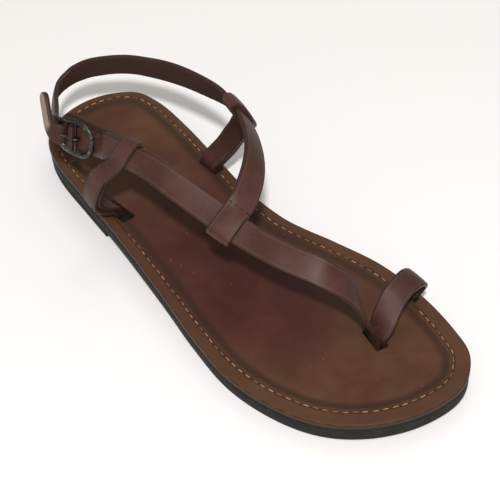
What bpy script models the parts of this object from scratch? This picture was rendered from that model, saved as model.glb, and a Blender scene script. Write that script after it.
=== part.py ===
"""Right shoe of a pair of leather thong sandals: a rubber sole with a heel lift, a leather
footbed with slots, and an upper of narrow straps that closes with a buckle.

The frame is in metres. X runs from heel to toe, Y to the wearer's left (the inner side of
this shoe) and Z up. The origin is on the floor under the middle of the heel.
"""
import math

import bmesh
import bpy
import numpy as np
from mathutils import Matrix, Vector

# Sole: driving sizes
SHOE_LENGTH = 0.260
BALL_WIDTH = 0.096
HEEL_REST_X = 0.033        # middle of the heel, from the heel's back edge
HEEL_LIFT = 0.0045         # height that the heel lift adds under the outsole
HEEL_LIFT_LENGTH = 0.0725  # from the heel's back edge to the lift's front step
OUTSOLE_THICK = 0.0075
FOOTBED_THICK = 0.0032
TOE_SPRING = 0.0015        # height of the toe tip's underside over the floor
FOOTBED_SINK = 0.0007      # depth that the foot's wear leaves inside the stitched rim
RIM_WIDTH = 0.0065
SEAT = 0.0003              # gap that touching pieces keep
EDGE_ROUND = 0.0007
OUTSOLE_INSET = 0.0004     # step between the footbed's edge and the outsole's
LIFT_INSET = 0.0006

# Straps: driving sizes
STRAP_WIDTH = 0.0125
RING_WIDTH = 0.0118
TAB_WIDTH = 0.0110
STRAP_THICK = 0.0022
STRAP_RISE = 0.060         # height over the footbed that the tables below share out
STRAP_GRIP = 0.0005        # depth that a loop shares with the strap it is joined to
STRAP_CORNER = 0.0005
FOLD_GAP = 0.0004          # between the two layers of a folded tab
TAIL_WIDTH = 0.0095        # the ankle strap narrows to this where it passes the buckle
TAPER_LENGTH = 0.020
TAIL_LENGTH = 0.0205       # from the buckle's rim to the strap's tip
TAIL_WAY = (-0.62, 0.36, 0.68)
TAIL_FACE = (-0.35, 0.35, -0.87)

# Slots in the footbed
SLOT_EASE = 0.0005         # round the straps that pass through
TAB_SLOT_ROOM = (0.0055, 0.0018)   # open room in front of a tab and on its inner side

# Buckle
BUCKLE_LENGTH = 0.0225     # outer, along the strap
BUCKLE_HEIGHT = 0.0185     # outer, across the strap
BUCKLE_CURVE = 2.6         # 2 gives an ellipse, more gives fuller corners
BUCKLE_REACH = 0.62        # share of the length where the straps begin to run straight
FRAME_WIRE = 0.0022
BAR_WIRE = 0.0018
PRONG_WIRE = 0.0015
HOLE_WIDTH = 0.0022

# Half outline of the sole. Rows: share of the length, inner and outer edge as shares of
# the ball width. The ends are the heel's back edge and the toe tip.
OUTLINE = (
    # along, inner, outer
    (0.000, 0.042, 0.042),
    (0.020, 0.240, -0.172),
    (0.050, 0.338, -0.247),
    (0.100, 0.375, -0.296),
    (0.200, 0.367, -0.334),
    (0.300, 0.335, -0.365),
    (0.400, 0.310, -0.401),
    (0.500, 0.331, -0.441),
    (0.600, 0.411, -0.490),
    (0.700, 0.477, -0.521),
    (0.800, 0.483, -0.485),
    (0.900, 0.443, -0.365),
    (0.950, 0.398, -0.229),
    (0.980, 0.320, -0.090),
    (1.000, 0.156, 0.156),
)

# Underside of the outsole. Rows: share of the length, share of the heel lift, share of
# the toe spring.
PROFILE = (
    # along, lift, spring
    (0.000, 1.00, 0.00),
    (0.300, 1.00, 0.00),
    (0.360, 0.86, 0.00),
    (0.430, 0.48, 0.00),
    (0.500, 0.14, 0.00),
    (0.560, 0.00, 0.00),
    (0.780, 0.00, 0.00),
    (0.860, 0.00, 0.16),
    (0.930, 0.00, 0.50),
    (1.000, 0.00, 1.00),
)

# Centre lines of the straps. Rows: share of the length from the heel's back edge, share of
# the ball width, share of STRAP_RISE over the footbed, then the direction across the strap.
INSTEP_STRAP = (
    # along, across, up, wide_x, wide_y, wide_z
    (0.817, 0.125, 0.000, -0.95, 0.32, 0.00),
    (0.817, 0.124, 0.060, -0.95, 0.32, -0.05),
    (0.810, 0.085, 0.265, -0.90, 0.40, -0.22),
    (0.798, 0.068, 0.433, -0.72, 0.66, -0.19),
    (0.786, 0.047, 0.543, -0.50, 0.82, 0.10),
    (0.754, -0.025, 0.693, -0.30, 0.80, 0.50),
    (0.688, -0.104, 0.742, -0.20, 0.85, 0.48),
    (0.611, -0.155, 0.763, -0.20, 0.87, 0.45),
    (0.546, -0.200, 0.830, -0.15, 0.85, 0.50),
    (0.482, -0.240, 0.888, -0.10, 0.80, 0.60),
    (0.412, -0.274, 0.920, 0.00, 0.60, 0.80),
    (0.358, -0.297, 0.875, 0.00, 0.42, 0.90),
    (0.300, -0.313, 0.808, 0.00, 0.33, 0.94),
)
TOE_RING = (
    (0.8195, 0.1453, 0.000, -0.95, 0.32, 0.00),
    (0.8195, 0.1453, 0.050, -0.95, 0.32, -0.02),
    (0.8200, 0.1280, 0.125, -0.93, 0.36, 0.05),
    (0.8240, 0.1150, 0.185, -0.90, 0.32, 0.20),
    (0.8235, 0.1450, 0.230, -0.92, 0.15, 0.25),
    (0.8170, 0.2250, 0.260, -0.94, 0.00, 0.20),
    (0.8020, 0.3330, 0.272, -0.95, -0.10, 0.18),
    (0.7955, 0.4220, 0.262, -0.90, 0.00, 0.35),
    (0.7904, 0.4600, 0.195, -0.88, 0.00, 0.40),
    (0.7846, 0.4540, 0.095, -0.95, 0.00, 0.20),
    (0.7808, 0.4270, 0.030, -1.00, -0.07, 0.00),
    (0.7808, 0.4270, 0.000, -1.00, -0.07, 0.00),
)
ANKLE_STRAP = (
    (0.573, -0.083, 0.880, 0.80, 0.20, -0.55),
    (0.559, -0.010, 0.915, 0.74, 0.28, -0.55),
    (0.540, 0.062, 0.940, 0.58, 0.40, -0.66),
    (0.515, 0.131, 0.957, 0.42, 0.44, -0.78),
    (0.480, 0.197, 0.955, 0.32, 0.44, -0.84),
    (0.440, 0.252, 0.930, 0.25, 0.43, -0.86),
    (0.400, 0.292, 0.885, 0.18, 0.42, -0.88),
    (0.350, 0.318, 0.825, 0.08, 0.26, -0.96),
    (0.290, 0.318, 0.765, 0.00, 0.12, -0.99),
    (0.222, 0.295, 0.715, 0.00, 0.06, -1.00),
    (0.160, 0.258, 0.650, 0.00, 0.10, -1.00),
    (0.115, 0.200, 0.620, -0.06, 0.14, -1.00),
    (0.077, 0.122, 0.580, -0.16, 0.10, -1.00),
    (0.046, 0.042, 0.520, -0.26, 0.00, -1.00),
    (0.032, -0.032, 0.465, -0.30, -0.06, -1.00),
    (0.034, -0.102, 0.440, -0.26, -0.14, -1.00),
    (0.054, -0.164, 0.450, -0.16, -0.20, -1.00),
    (0.086, -0.222, 0.490, -0.08, -0.20, -1.00),
    (0.121, -0.278, 0.545, 0.00, -0.20, -1.00),
    (0.150, -0.327, 0.600, 0.04, -0.18, -1.00),
)
INNER_TAB = (
    (0.3096, 0.279, 0.000, 1.00, 0.00, 0.00),
    (0.3100, 0.279, 0.035, 1.00, 0.00, 0.00),
    (0.3154, 0.305, 0.092, 1.00, 0.00, -0.10),
    (0.3250, 0.349, 0.183, 0.97, 0.00, -0.25),
    (0.3385, 0.378, 0.317, 0.95, 0.01, -0.30),
    (0.3558, 0.381, 0.450, 0.94, 0.03, -0.32),
    (0.3730, 0.367, 0.583, 0.94, 0.04, -0.30),
)
OUTER_TAB = (
    (0.2580, -0.310, 0.000, 1.00, 0.00, 0.00),
    (0.2590, -0.310, 0.030, 1.00, 0.00, 0.00),
    (0.2650, -0.339, 0.092, 1.00, 0.00, -0.12),
    (0.2790, -0.385, 0.183, 0.97, 0.00, -0.26),
    (0.2940, -0.420, 0.333, 0.95, 0.00, -0.30),
    (0.3090, -0.423, 0.483, 0.94, 0.03, -0.30),
    (0.3165, -0.404, 0.600, 0.94, 0.06, -0.30),
)

# Where loops sit, as shares of the length
CROSSING_AT = 0.583
INNER_LOOP_AT = 0.402
OUTER_LOOP_AT = 0.355

# Middle of the buckle, as shares of the length, the ball width and the strap rise
BUCKLE_AT = (0.237, -0.371, 0.762)
BUCKLE_ALONG = (0.97, 0.24, 0.05)
BUCKLE_FACE = (0.28, -0.92, 0.28)

# Fineness of the meshes
OUTLINE_STEPS = 40
STRAP_STEP = 0.0036
FOLD_STEPS = 6


def clear_scene():
    """Removes every object that the file holds."""
    for old in list(bpy.data.objects):
        bpy.data.objects.remove(old, do_unlink=True)


def make_collection(name):
    """Makes a collection and links it to the scene."""
    group = bpy.data.collections.new(name)
    bpy.context.scene.collection.children.link(group)
    return group


def make_material(name, colour, roughness, metallic=0.0):
    """Makes a Principled material from a colour, a roughness and a metallic value."""
    material = bpy.data.materials.new(name)
    material.use_nodes = True
    shader = material.node_tree.nodes["Principled BSDF"]
    shader.inputs["Base Color"].default_value = (*colour, 1.0)
    shader.inputs["Roughness"].default_value = roughness
    shader.inputs["Metallic"].default_value = metallic
    return material


def add_mesh(name, vertices, faces, group, material=None):
    """Makes a mesh object with its normals pointing out, and links it to a collection."""
    mesh = bpy.data.meshes.new(name)
    mesh.from_pydata([tuple(v) for v in vertices], [], faces)
    work = bmesh.new()
    work.from_mesh(mesh)
    bmesh.ops.recalc_face_normals(work, faces=work.faces)
    work.to_mesh(mesh)
    work.free()
    piece = bpy.data.objects.new(name, mesh)
    group.objects.link(piece)
    if material:
        mesh.materials.append(material)
    return piece


def mark_as_cutter(piece):
    """Hides a cutter from renders and shows it as wire."""
    piece.hide_render = True
    piece.display_type = "WIRE"


def add_boolean(piece, cutter, operation):
    """Cuts or joins a cutter with an exact Boolean."""
    modifier = piece.modifiers.new(cutter.name, "BOOLEAN")
    modifier.operation = operation
    modifier.solver = "EXACT"
    modifier.use_self = True
    modifier.object = cutter


def smooth_curve(keys, values, at):
    """Reads a smooth curve through a table: cubic pieces with the slope of the neighbours."""
    keys = np.asarray(keys, float)
    values = np.asarray(values, float)
    slopes = np.gradient(values, keys, axis=0)
    spot = np.clip(np.searchsorted(keys, at, side="right") - 1, 0, len(keys) - 2)
    span = keys[spot + 1] - keys[spot]
    t = (at - keys[spot]) / span
    shape = (-1,) + (1,) * (values.ndim - 1)
    t = t.reshape(shape)
    span = span.reshape(shape)
    start = (1 + 2 * t) * (1 - t) ** 2 * values[spot] + t * (1 - t) ** 2 * span * slopes[spot]
    end = t ** 2 * (3 - 2 * t) * values[spot + 1] + t ** 2 * (t - 1) * span * slopes[spot + 1]
    return start + end


def unit(vectors):
    """Scales a vector, or each row of vectors, to length one."""
    vectors = np.asarray(vectors, float)
    return vectors / np.linalg.norm(vectors, axis=-1, keepdims=True)


def shoe_x(share):
    """Turns a share of the length into X, with the origin under the middle of the heel."""
    return np.asarray(share) * SHOE_LENGTH - HEEL_REST_X


def outline_table():
    """Gives the closed outline's table: its angle round the sole and Y at each row."""
    rows = np.array(OUTLINE)
    angle = np.arccos(1 - 2 * rows[:, 0])
    inner = np.column_stack([angle, rows[:, 1]])
    outer = np.column_stack([2 * math.pi - angle, rows[:, 2]])[-2:0:-1]
    once = np.vstack([inner, outer])
    turn = np.array([2 * math.pi, 0.0])
    return np.vstack([once[-4:] - turn, once, once[:4] + turn])


def sole_outline(inset):
    """Works out the outline, heel to toe: stations, inner edge and outer edge.

    A station is an angle from 0 at the heel to pi at the toe, which crowds the points at
    both round ends. An inset moves each edge towards the middle of the sole.
    """
    table = outline_table()
    angle = np.linspace(0, math.pi, OUTLINE_STEPS + 1)
    share = (1 - np.cos(angle)) / 2
    inner_y = smooth_curve(table[:, 0], table[:, 1], angle) * BALL_WIDTH
    outer_y = smooth_curve(table[:, 0], table[:, 1], 2 * math.pi - angle) * BALL_WIDTH
    loop_x = np.concatenate([shoe_x(share), shoe_x(share[-2:0:-1])])
    loop_y = np.concatenate([inner_y, outer_y[-2:0:-1]])
    loop = np.column_stack([loop_x, loop_y])
    ahead = np.roll(loop, -1, axis=0) - np.roll(loop, 1, axis=0)
    inward = unit(np.column_stack([ahead[:, 1], -ahead[:, 0]]))
    loop = loop + inward * inset
    inner = loop[:OUTLINE_STEPS + 1]
    outer = np.vstack([loop[:1], loop[:OUTLINE_STEPS - 1:-1]])
    return inner, outer


def edge_distance(points, inner, outer):
    """Measures how far each point lies inside the outline that the two edges make."""
    loop = np.vstack([inner, outer[-2:0:-1]])
    gap = points[:, None, :] - loop[None, :, :]
    return np.sqrt((gap ** 2).sum(axis=2)).min(axis=1)


def underside(x):
    """Gives the height of the outsole's underside: heel lift, waist, ball and toe spring."""
    rows = np.array(PROFILE)
    share = (np.asarray(x, float) + HEEL_REST_X) / SHOE_LENGTH
    share = np.clip(share, 0.0, 1.0)
    flat = rows[:, 1] * HEEL_LIFT + rows[:, 2] * TOE_SPRING
    return np.interp(share, rows[:, 0], flat)


def outsole_top(x):
    """Gives the height of the outsole's upper face."""
    return underside(x) + OUTSOLE_THICK


def footbed_top(x):
    """Gives the height of the footbed's rim."""
    return outsole_top(x) + SEAT + FOOTBED_THICK


def sole_layer(name, inset, low, high, sink, group, material):
    """Makes one layer of the sole between two heights that change along the shoe.

    Both faces are grids of stations along and rows across. The upper face sinks by sink
    inside the rim, and both rims are rounded by small steps.
    """
    rings = (inset + EDGE_ROUND, inset, inset, inset + EDGE_ROUND)
    lifts = (0.0, EDGE_ROUND, -EDGE_ROUND, 0.0)
    inner, outer = sole_outline(inset + EDGE_ROUND)
    across = np.array([0.0, 0.05, 0.11, 0.18, 0.30, 0.5, 0.70, 0.82, 0.89, 0.95, 1.0])
    if sink == 0.0:
        across = np.array([0.0, 0.5, 1.0])
    stations = np.arange(1, OUTLINE_STEPS)
    vertices = []
    faces = []

    def add_face_grid(height, dip):
        start = len(vertices)
        grid = outer[stations][:, None, :] + across[None, :, None] * (
            inner[stations] - outer[stations])[:, None, :]
        flat = np.vstack([outer[:1], grid.reshape(-1, 2), outer[-1:]])
        depth = np.clip((edge_distance(flat, inner, outer) - RIM_WIDTH) / RIM_WIDTH, 0, 1)
        z = height(flat[:, 0]) - dip * depth ** 2 * (3 - 2 * depth)
        vertices.extend(np.column_stack([flat, z]))
        wide = len(across)
        first = start + 1
        last = start + len(flat) - 1
        for j in range(wide - 1):
            faces.append((start, first + j, first + j + 1))
            for i in range(len(stations) - 1):
                a = first + i * wide + j
                faces.append((a, a + wide, a + wide + 1, a + 1))
            end = last - wide + j
            faces.append((end, last, end + 1))
        outer_side = [first + i * wide for i in range(len(stations))]
        inner_side = [first + i * wide + wide - 1 for i in range(len(stations))]
        return [start] + inner_side + [last] + outer_side[::-1]

    loops = [add_face_grid(low, 0.0)]
    for ring_inset, lift, height in zip(rings[1:3], lifts[1:3], (low, high)):
        ring_inner, ring_outer = sole_outline(ring_inset)
        ring = np.vstack([ring_inner, ring_outer[-2:0:-1]])
        start = len(vertices)
        vertices.extend(np.column_stack([ring, height(ring[:, 0]) + lift]))
        loops.append(list(range(start, start + len(ring))))
    loops.append(add_face_grid(high, sink))
    for lower, upper in zip(loops[:-1], loops[1:]):
        count = len(lower)
        for k in range(count):
            m = (k + 1) % count
            faces.append((lower[k], lower[m], upper[m], upper[k]))
    return add_mesh(name, vertices, faces, group, material)


def strap_rows(table):
    """Turns a table's shares into points and directions across the strap.

    A row whose height is 0 is a strap's end, which stands on the outsole inside its slot.
    """
    rows = np.array(table)
    x = shoe_x(rows[:, 0])
    z = footbed_top(x) + rows[:, 2] * STRAP_RISE
    z = np.where(rows[:, 2] == 0.0, outsole_top(x) + SEAT * 2, z)
    points = np.column_stack([x, rows[:, 1] * BALL_WIDTH, z])
    return points, unit(rows[:, 3:6])


def smooth_path(points, wide, step):
    """Reads a smooth strap through its rows, with a section about every step."""
    keys = np.concatenate([[0.0], np.cumsum(np.linalg.norm(np.diff(points, axis=0), axis=1))])
    count = max(2, int(round(keys[-1] / step)) + 1)
    at = np.linspace(0.0, keys[-1], count)
    return smooth_curve(keys, points, at), unit(smooth_curve(keys, wide, at))


def path_frame(points, wide):
    """Gives each section's tangent, its direction across and its face normal."""
    tangent = unit(np.gradient(points, axis=0))
    across = unit(wide - (wide * tangent).sum(axis=1, keepdims=True) * tangent)
    return tangent, across, np.cross(tangent, across)


def ribbon(name, points, wide, width, group, material=None):
    """Sweeps a strap's section, a flat bar with broken corners, along a path.

    The width is one size, or one size for each section.
    """
    _, across, normal = path_frame(points, wide)
    half_w = np.broadcast_to(np.asarray(width, float) / 2, len(points))[:, None]
    inner_w = half_w - STRAP_CORNER
    half_t = STRAP_THICK / 2
    inner_t = half_t - STRAP_CORNER
    upper_side = ((half_w, inner_t), (inner_w, half_t), (-inner_w, half_t), (-half_w, inner_t))
    lower_side = tuple((a, -b) for a, b in upper_side[::-1])
    vertices = []
    for a, b in upper_side + lower_side:
        vertices.append(points + a * across + b * normal)
    count = len(vertices)
    vertices = np.stack(vertices, axis=1).reshape(-1, 3)
    faces = [tuple(range(count))]
    for i in range(len(points) - 1):
        for k in range(count):
            m = (k + 1) % count
            faces.append((i * count + k, i * count + m,
                          (i + 1) * count + m, (i + 1) * count + k))
    faces.append(tuple(range((len(points) - 1) * count, len(points) * count)))
    return add_mesh(name, vertices, faces, group, material)


def frame_at(points, wide, share):
    """Finds a strap's place, tangent, direction across and normal at a share of the length."""
    tangent, across, normal = path_frame(points, wide)
    k = int(np.abs(points[:, 0] - shoe_x(share)).argmin())
    return points[k], tangent[k], across[k], normal[k]


def wrap_points(centre, up, out, width, layer):
    """Gives a band's centre line round one edge of a strap, from its outer to its inner face.

    up points across the strap to the edge that the band goes over, and out is the strap's
    outer side. layer is the distance between the strap's middle and the band's.
    """
    turn = width / 2 + STRAP_CORNER - layer / 2
    angles = np.linspace(0.0, math.pi, FOLD_STEPS + 1)
    low = centre - up * (width * 0.42) + out * layer
    high = centre - up * (width * 0.42) - out * layer
    arc = [centre + up * (turn + layer * math.sin(a)) + out * (layer * math.cos(a)) for a in angles]
    return np.array([low] + arc + [high])


def folded_tab(name, table, strap, share, side, group):
    """Makes a side tab: a band from the slot up, over its strap and back down into the slot.

    side is +1 on the inner side of the shoe and -1 on the outer side.
    """
    points, wide = strap_rows(table)
    stem, stem_wide = smooth_path(points, wide, STRAP_STEP)
    _, _, stem_normal = path_frame(stem, stem_wide)
    centre, tangent, across, normal = frame_at(*strap, share)
    up = across if across[2] > 0 else -across
    out = normal if normal[1] * side > 0 else -normal
    along = tangent if tangent[0] > 0 else -tangent
    layer = STRAP_THICK - STRAP_GRIP
    wrap = wrap_points(centre, up, out, STRAP_WIDTH, layer)
    face = stem_normal * np.sign(stem_normal[:, 1:2] * side)
    half = (STRAP_THICK + FOLD_GAP) / 2
    outside = np.vstack([stem + face * half, wrap])
    inside = (stem - face * half)[::-1]
    points = np.vstack([outside, inside])
    wrap_wide = np.tile(along, (len(wrap), 1))
    wide = np.vstack([stem_wide, wrap_wide, stem_wide[::-1]])
    return ribbon(name, points, wide, TAB_WIDTH, group)


def buckle_frame_axes():
    """Gives the buckle's middle and its axes: along the strap, across it and outwards."""
    x = shoe_x(BUCKLE_AT[0])
    middle = np.array([x, BUCKLE_AT[1] * BALL_WIDTH, footbed_top(x) + BUCKLE_AT[2] * STRAP_RISE])
    along = unit(BUCKLE_ALONG)
    face = unit(BUCKLE_FACE - np.dot(BUCKLE_FACE, along) * along)
    across = np.cross(face, along)
    return middle, along, across, face


def buckle_turn():
    """Works out the turn of the ankle strap round the buckle's rear rim.

    Gives the turn's middle, as a distance behind the buckle's middle, and its radius to the
    strap's centre line. The rim is curved, so the strap clears it at its middle and at both
    of the strap's edges.
    """
    half_length = (BUCKLE_LENGTH - FRAME_WIRE) / 2
    half_height = (BUCKLE_HEIGHT - FRAME_WIRE) / 2
    share = min(TAIL_WIDTH / 2 / half_height, 0.95)
    sag = half_length * (1 - (1 - share ** BUCKLE_CURVE) ** (1 / BUCKLE_CURVE))
    return half_length - sag / 2, FRAME_WIRE / 2 + SEAT + sag / 2 + STRAP_THICK / 2


def instep_path():
    """Works out the instep strap: toe slot, instep, outer ankle, and the fold round the bar."""
    points, wide = strap_rows(INSTEP_STRAP)
    middle, along, across, face = buckle_frame_axes()
    under = FRAME_WIRE / 2 + SEAT + STRAP_THICK / 2
    bend = BAR_WIRE / 2 + SEAT + STRAP_THICK / 2
    entry = middle + along * (BUCKLE_LENGTH * BUCKLE_REACH) - face * under
    angles = np.linspace(-0.5 * math.pi, 0.62 * math.pi, FOLD_STEPS + 2)
    fold = np.array([middle - along * (bend * math.cos(a)) + face * (bend * math.sin(a))
                     for a in angles])
    points = np.vstack([points, entry, fold[:1]])
    wide = np.vstack([wide, across, across])
    points, wide = smooth_path(points, wide, STRAP_STEP)
    fold = fold[1:]
    return np.vstack([points, fold]), np.vstack([wide, np.tile(across, (len(fold), 1))])


def ankle_path(instep):
    """Works out the ankle strap: the sleeve round the instep strap, the inner loop, the heel,
    the turn through the buckle and the tail. Gives points, directions and widths."""
    centre, tangent, across, normal = frame_at(*instep, CROSSING_AT)
    over = normal if normal[2] > 0 else -normal
    inward = across if across[1] > 0 else -across
    wrap = wrap_points(centre, -inward, over, STRAP_WIDTH, STRAP_THICK - STRAP_GRIP)[::-1]
    points, wide = strap_rows(ANKLE_STRAP)
    forward = tangent if tangent[0] > 0 else -tangent
    middle, along, high, face = buckle_frame_axes()
    rim, level = buckle_turn()
    angles = np.linspace(-0.5 * math.pi, 0.5 * math.pi, FOLD_STEPS + 3)
    turn = np.array([middle - along * (rim - level * math.cos(a)) + face * (level * math.sin(a))
                     for a in angles])
    entry = middle - along * (BUCKLE_LENGTH * BUCKLE_REACH) - face * level
    body, body_wide = smooth_path(np.vstack([wrap[-1:], points, entry, turn[:1]]),
                                  np.vstack([forward, wide, -high, -high]), STRAP_STEP)
    share = np.linspace(0.0, 1.0, 9)[1:, None]
    bend = np.clip(share * 2.5, 0.0, 1.0)
    way = unit(-along * (1 - bend) + unit(TAIL_WAY) * bend)
    tail = turn[-1] + np.cumsum(way * TAIL_LENGTH / len(share), axis=0)
    tail_wide = unit(-high * (1 - bend) + unit(TAIL_FACE) * bend)
    turn = turn[1:]
    points = np.vstack([wrap[:-1], body, turn, tail])
    wide = np.vstack([np.tile(forward, (len(wrap) - 1, 1)), body_wide,
                      np.tile(-high, (len(turn), 1)), tail_wide])
    narrow_from = len(points) - len(tail) - len(turn)
    behind = np.linalg.norm(points - points[narrow_from - 1], axis=1)
    narrow = np.clip(1.3 - behind / TAPER_LENGTH, 0.0, 1.0)
    narrow[narrow_from:] = 1.0
    return points, wide, STRAP_WIDTH + (TAIL_WIDTH - STRAP_WIDTH) * narrow


def make_upper(group, cutters, material):
    """Joins the straps where they cross into one upper."""
    instep = instep_path()
    ankle = ankle_path(instep)
    upper = ribbon("upper", *instep, STRAP_WIDTH, group, material)
    ring = ribbon("toe_ring", *smooth_path(*strap_rows(TOE_RING), STRAP_STEP * 0.7),
                  RING_WIDTH, cutters)
    ankle_band = ribbon("ankle_strap", *ankle, cutters)
    inner = folded_tab("inner_tab", INNER_TAB, ankle[:2], INNER_LOOP_AT, 1.0, cutters)
    outer = folded_tab("outer_tab", OUTER_TAB, instep, OUTER_LOOP_AT, -1.0, cutters)
    for band in (ring, ankle_band, inner, outer):
        mark_as_cutter(band)
        add_boolean(upper, band, "UNION")
    return upper


def make_slot(name, place, direction, low, high, group):
    """Makes a cutter for a slot through the footbed, with rounded corners.

    low and high are the slot's corners in its own axes, which turn with the direction.
    """
    x = float(shoe_x(place[0]))
    y = place[1] * BALL_WIDTH
    round_off = (high[1] - low[1]) * 0.22
    corners = ((high[0], high[1], 0), (low[0], high[1], 1), (low[0], low[1], 2),
               (high[0], low[1], 3))
    outline = []
    for cx, cy, quarter in corners:
        for k in range(4):
            angle = math.pi / 2 * (quarter + k / 3)
            inner_x = cx - round_off * (1 if quarter in (0, 3) else -1)
            inner_y = cy - round_off * (1 if quarter in (0, 1) else -1)
            outline.append((inner_x + round_off * math.cos(angle),
                            inner_y + round_off * math.sin(angle)))
    turn = Matrix.Rotation(math.atan2(direction[1], direction[0]), 2)
    depth = FOOTBED_THICK * 3
    vertices = []
    for z in (-depth, depth):
        for point in outline:
            flat = turn @ Vector(point)
            vertices.append((x + flat.x, y + flat.y, float(footbed_top(x)) + z))
    count = len(outline)
    faces = [tuple(range(count)), tuple(range(count, 2 * count))]
    for k in range(count):
        m = (k + 1) % count
        faces.append((k, m, count + m, count + k))
    slot = add_mesh(name, vertices, faces, group)
    mark_as_cutter(slot)
    return slot


def slot_table():
    """Lists the footbed's slots: name, place, direction, low corner and high corner."""
    half = STRAP_WIDTH / 2 + SLOT_EASE
    thick = STRAP_THICK / 2 + SLOT_EASE
    pair = STRAP_THICK - STRAP_GRIP / 2 + SLOT_EASE
    tab = TAB_WIDTH / 2 + SLOT_EASE
    layers = STRAP_THICK + FOLD_GAP / 2 + SLOT_EASE
    ahead, inside = TAB_SLOT_ROOM
    toe = ((INSTEP_STRAP[0][0] + TOE_RING[0][0]) / 2, (INSTEP_STRAP[0][1] + TOE_RING[0][1]) / 2)
    return (
        ("toe_slot", toe, INSTEP_STRAP[0][3:5], (-half, -pair), (half, pair)),
        ("ring_slot", TOE_RING[-1][:2], TOE_RING[-1][3:5], (-half, -thick), (half, thick)),
        ("inner_slot", INNER_TAB[0][:2], INNER_TAB[0][3:5],
         (-tab, -layers - inside), (tab + ahead, layers)),
        ("outer_slot", OUTER_TAB[0][:2], OUTER_TAB[0][3:5],
         (-tab, -layers), (tab + ahead, layers + inside)),
    )


def make_heel_lift(group, cutters, material):
    """Makes the lift under the heel: a sole layer that ends in a slanted step."""
    lift = sole_layer("heel_lift", LIFT_INSET, lambda x: np.zeros_like(x),
                      lambda x: np.full_like(x, HEEL_LIFT - SEAT), 0.0, group, material)
    front = HEEL_LIFT_LENGTH - HEEL_REST_X
    profile = ((front, -HEEL_LIFT), (front, 0.0), (front - HEEL_LIFT * 0.4, HEEL_LIFT * 2),
               (SHOE_LENGTH, HEEL_LIFT * 2), (SHOE_LENGTH, -HEEL_LIFT))
    count = len(profile)
    vertices = [(x, side * BALL_WIDTH, z) for side in (-1.0, 1.0) for x, z in profile]
    faces = [tuple(range(count)), tuple(range(count, 2 * count))]
    for k in range(count):
        m = (k + 1) % count
        faces.append((k, m, count + m, count + k))
    step = add_mesh("heel_step", vertices, faces, cutters)
    mark_as_cutter(step)
    add_boolean(lift, step, "DIFFERENCE")
    return lift


def make_wire(name, points, wire, closed, group, material=None):
    """Makes a round wire along points, as a curve with a bevel that is turned into a mesh."""
    curve = bpy.data.curves.new(name + "_line", "CURVE")
    curve.dimensions = "3D"
    curve.bevel_depth = wire / 2
    curve.bevel_resolution = 2
    curve.use_fill_caps = not closed
    spline = curve.splines.new("POLY")
    spline.points.add(len(points) - 1)
    for spot, point in zip(spline.points, points):
        spot.co = (*point, 1.0)
    spline.use_cyclic_u = closed
    line = bpy.data.objects.new(name + "_line", curve)
    bpy.context.scene.collection.objects.link(line)
    bpy.context.view_layer.update()
    evaluated = line.evaluated_get(bpy.context.evaluated_depsgraph_get())
    mesh = bpy.data.meshes.new_from_object(evaluated)
    work = bmesh.new()
    work.from_mesh(mesh)
    bmesh.ops.remove_doubles(work, verts=work.verts, dist=0.00001)
    bmesh.ops.recalc_face_normals(work, faces=work.faces)
    work.to_mesh(mesh)
    work.free()
    mesh.materials.clear()
    if material:
        mesh.materials.append(material)
    piece = bpy.data.objects.new(name, mesh)
    piece.matrix_world = line.matrix_world
    group.objects.link(piece)
    bpy.data.objects.remove(line, do_unlink=True)
    return piece


def make_buckle(group, cutters, material):
    """Makes the buckle's oval frame with its middle bar, and the prong that hangs on the bar."""
    middle, along, across, face = buckle_frame_axes()
    half_length = (BUCKLE_LENGTH - FRAME_WIRE) / 2
    half_height = (BUCKLE_HEIGHT - FRAME_WIRE) / 2
    turn = np.linspace(0.0, 2 * math.pi, 33)[:-1, None]
    power = 2 / BUCKLE_CURVE
    reach = np.sign(np.cos(turn)) * np.abs(np.cos(turn)) ** power * half_length
    rise = np.sign(np.sin(turn)) * np.abs(np.sin(turn)) ** power * half_height
    oval = middle + along * reach + across * rise
    frame = make_wire("buckle_frame", oval, FRAME_WIRE, True, group, material)
    ends = [middle - across * half_height, middle + across * half_height]
    bar = make_wire("buckle_bar", ends, BAR_WIRE, False, cutters)
    mark_as_cutter(bar)
    add_boolean(frame, bar, "UNION")
    hook = BAR_WIRE / 2 + SEAT + PRONG_WIRE / 2
    level = FRAME_WIRE / 2 + SEAT + PRONG_WIRE / 2
    bends = np.radians(np.linspace(-50.0, -270.0, 10))
    points = [middle - along * hook * math.cos(a) + face * hook * math.sin(a) for a in bends]
    points.append(middle - along * half_length * 0.5 + face * (hook + level) / 2)
    points.append(middle - along * (half_length + FRAME_WIRE * 0.6) + face * level)
    make_wire("buckle_prong", points, PRONG_WIRE, False, group, material)
    return frame


def make_box(name, corner, size, axes, group):
    """Makes a box cutter from its low corner, its size and its three axes."""
    work = bmesh.new()
    bmesh.ops.create_cube(work, size=1.0)
    mesh = bpy.data.meshes.new(name)
    work.to_mesh(mesh)
    work.free()
    box = bpy.data.objects.new(name, mesh)
    turn = Matrix(np.array(axes).T.tolist()).to_4x4()
    scale = Matrix.Diagonal((*size, 1.0))
    middle = np.array(corner) + np.array(axes).T @ (np.array(size) / 2)
    mesh.transform(Matrix.Translation(middle.tolist()) @ turn @ scale)
    group.objects.link(box)
    mark_as_cutter(box)
    return box


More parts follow.
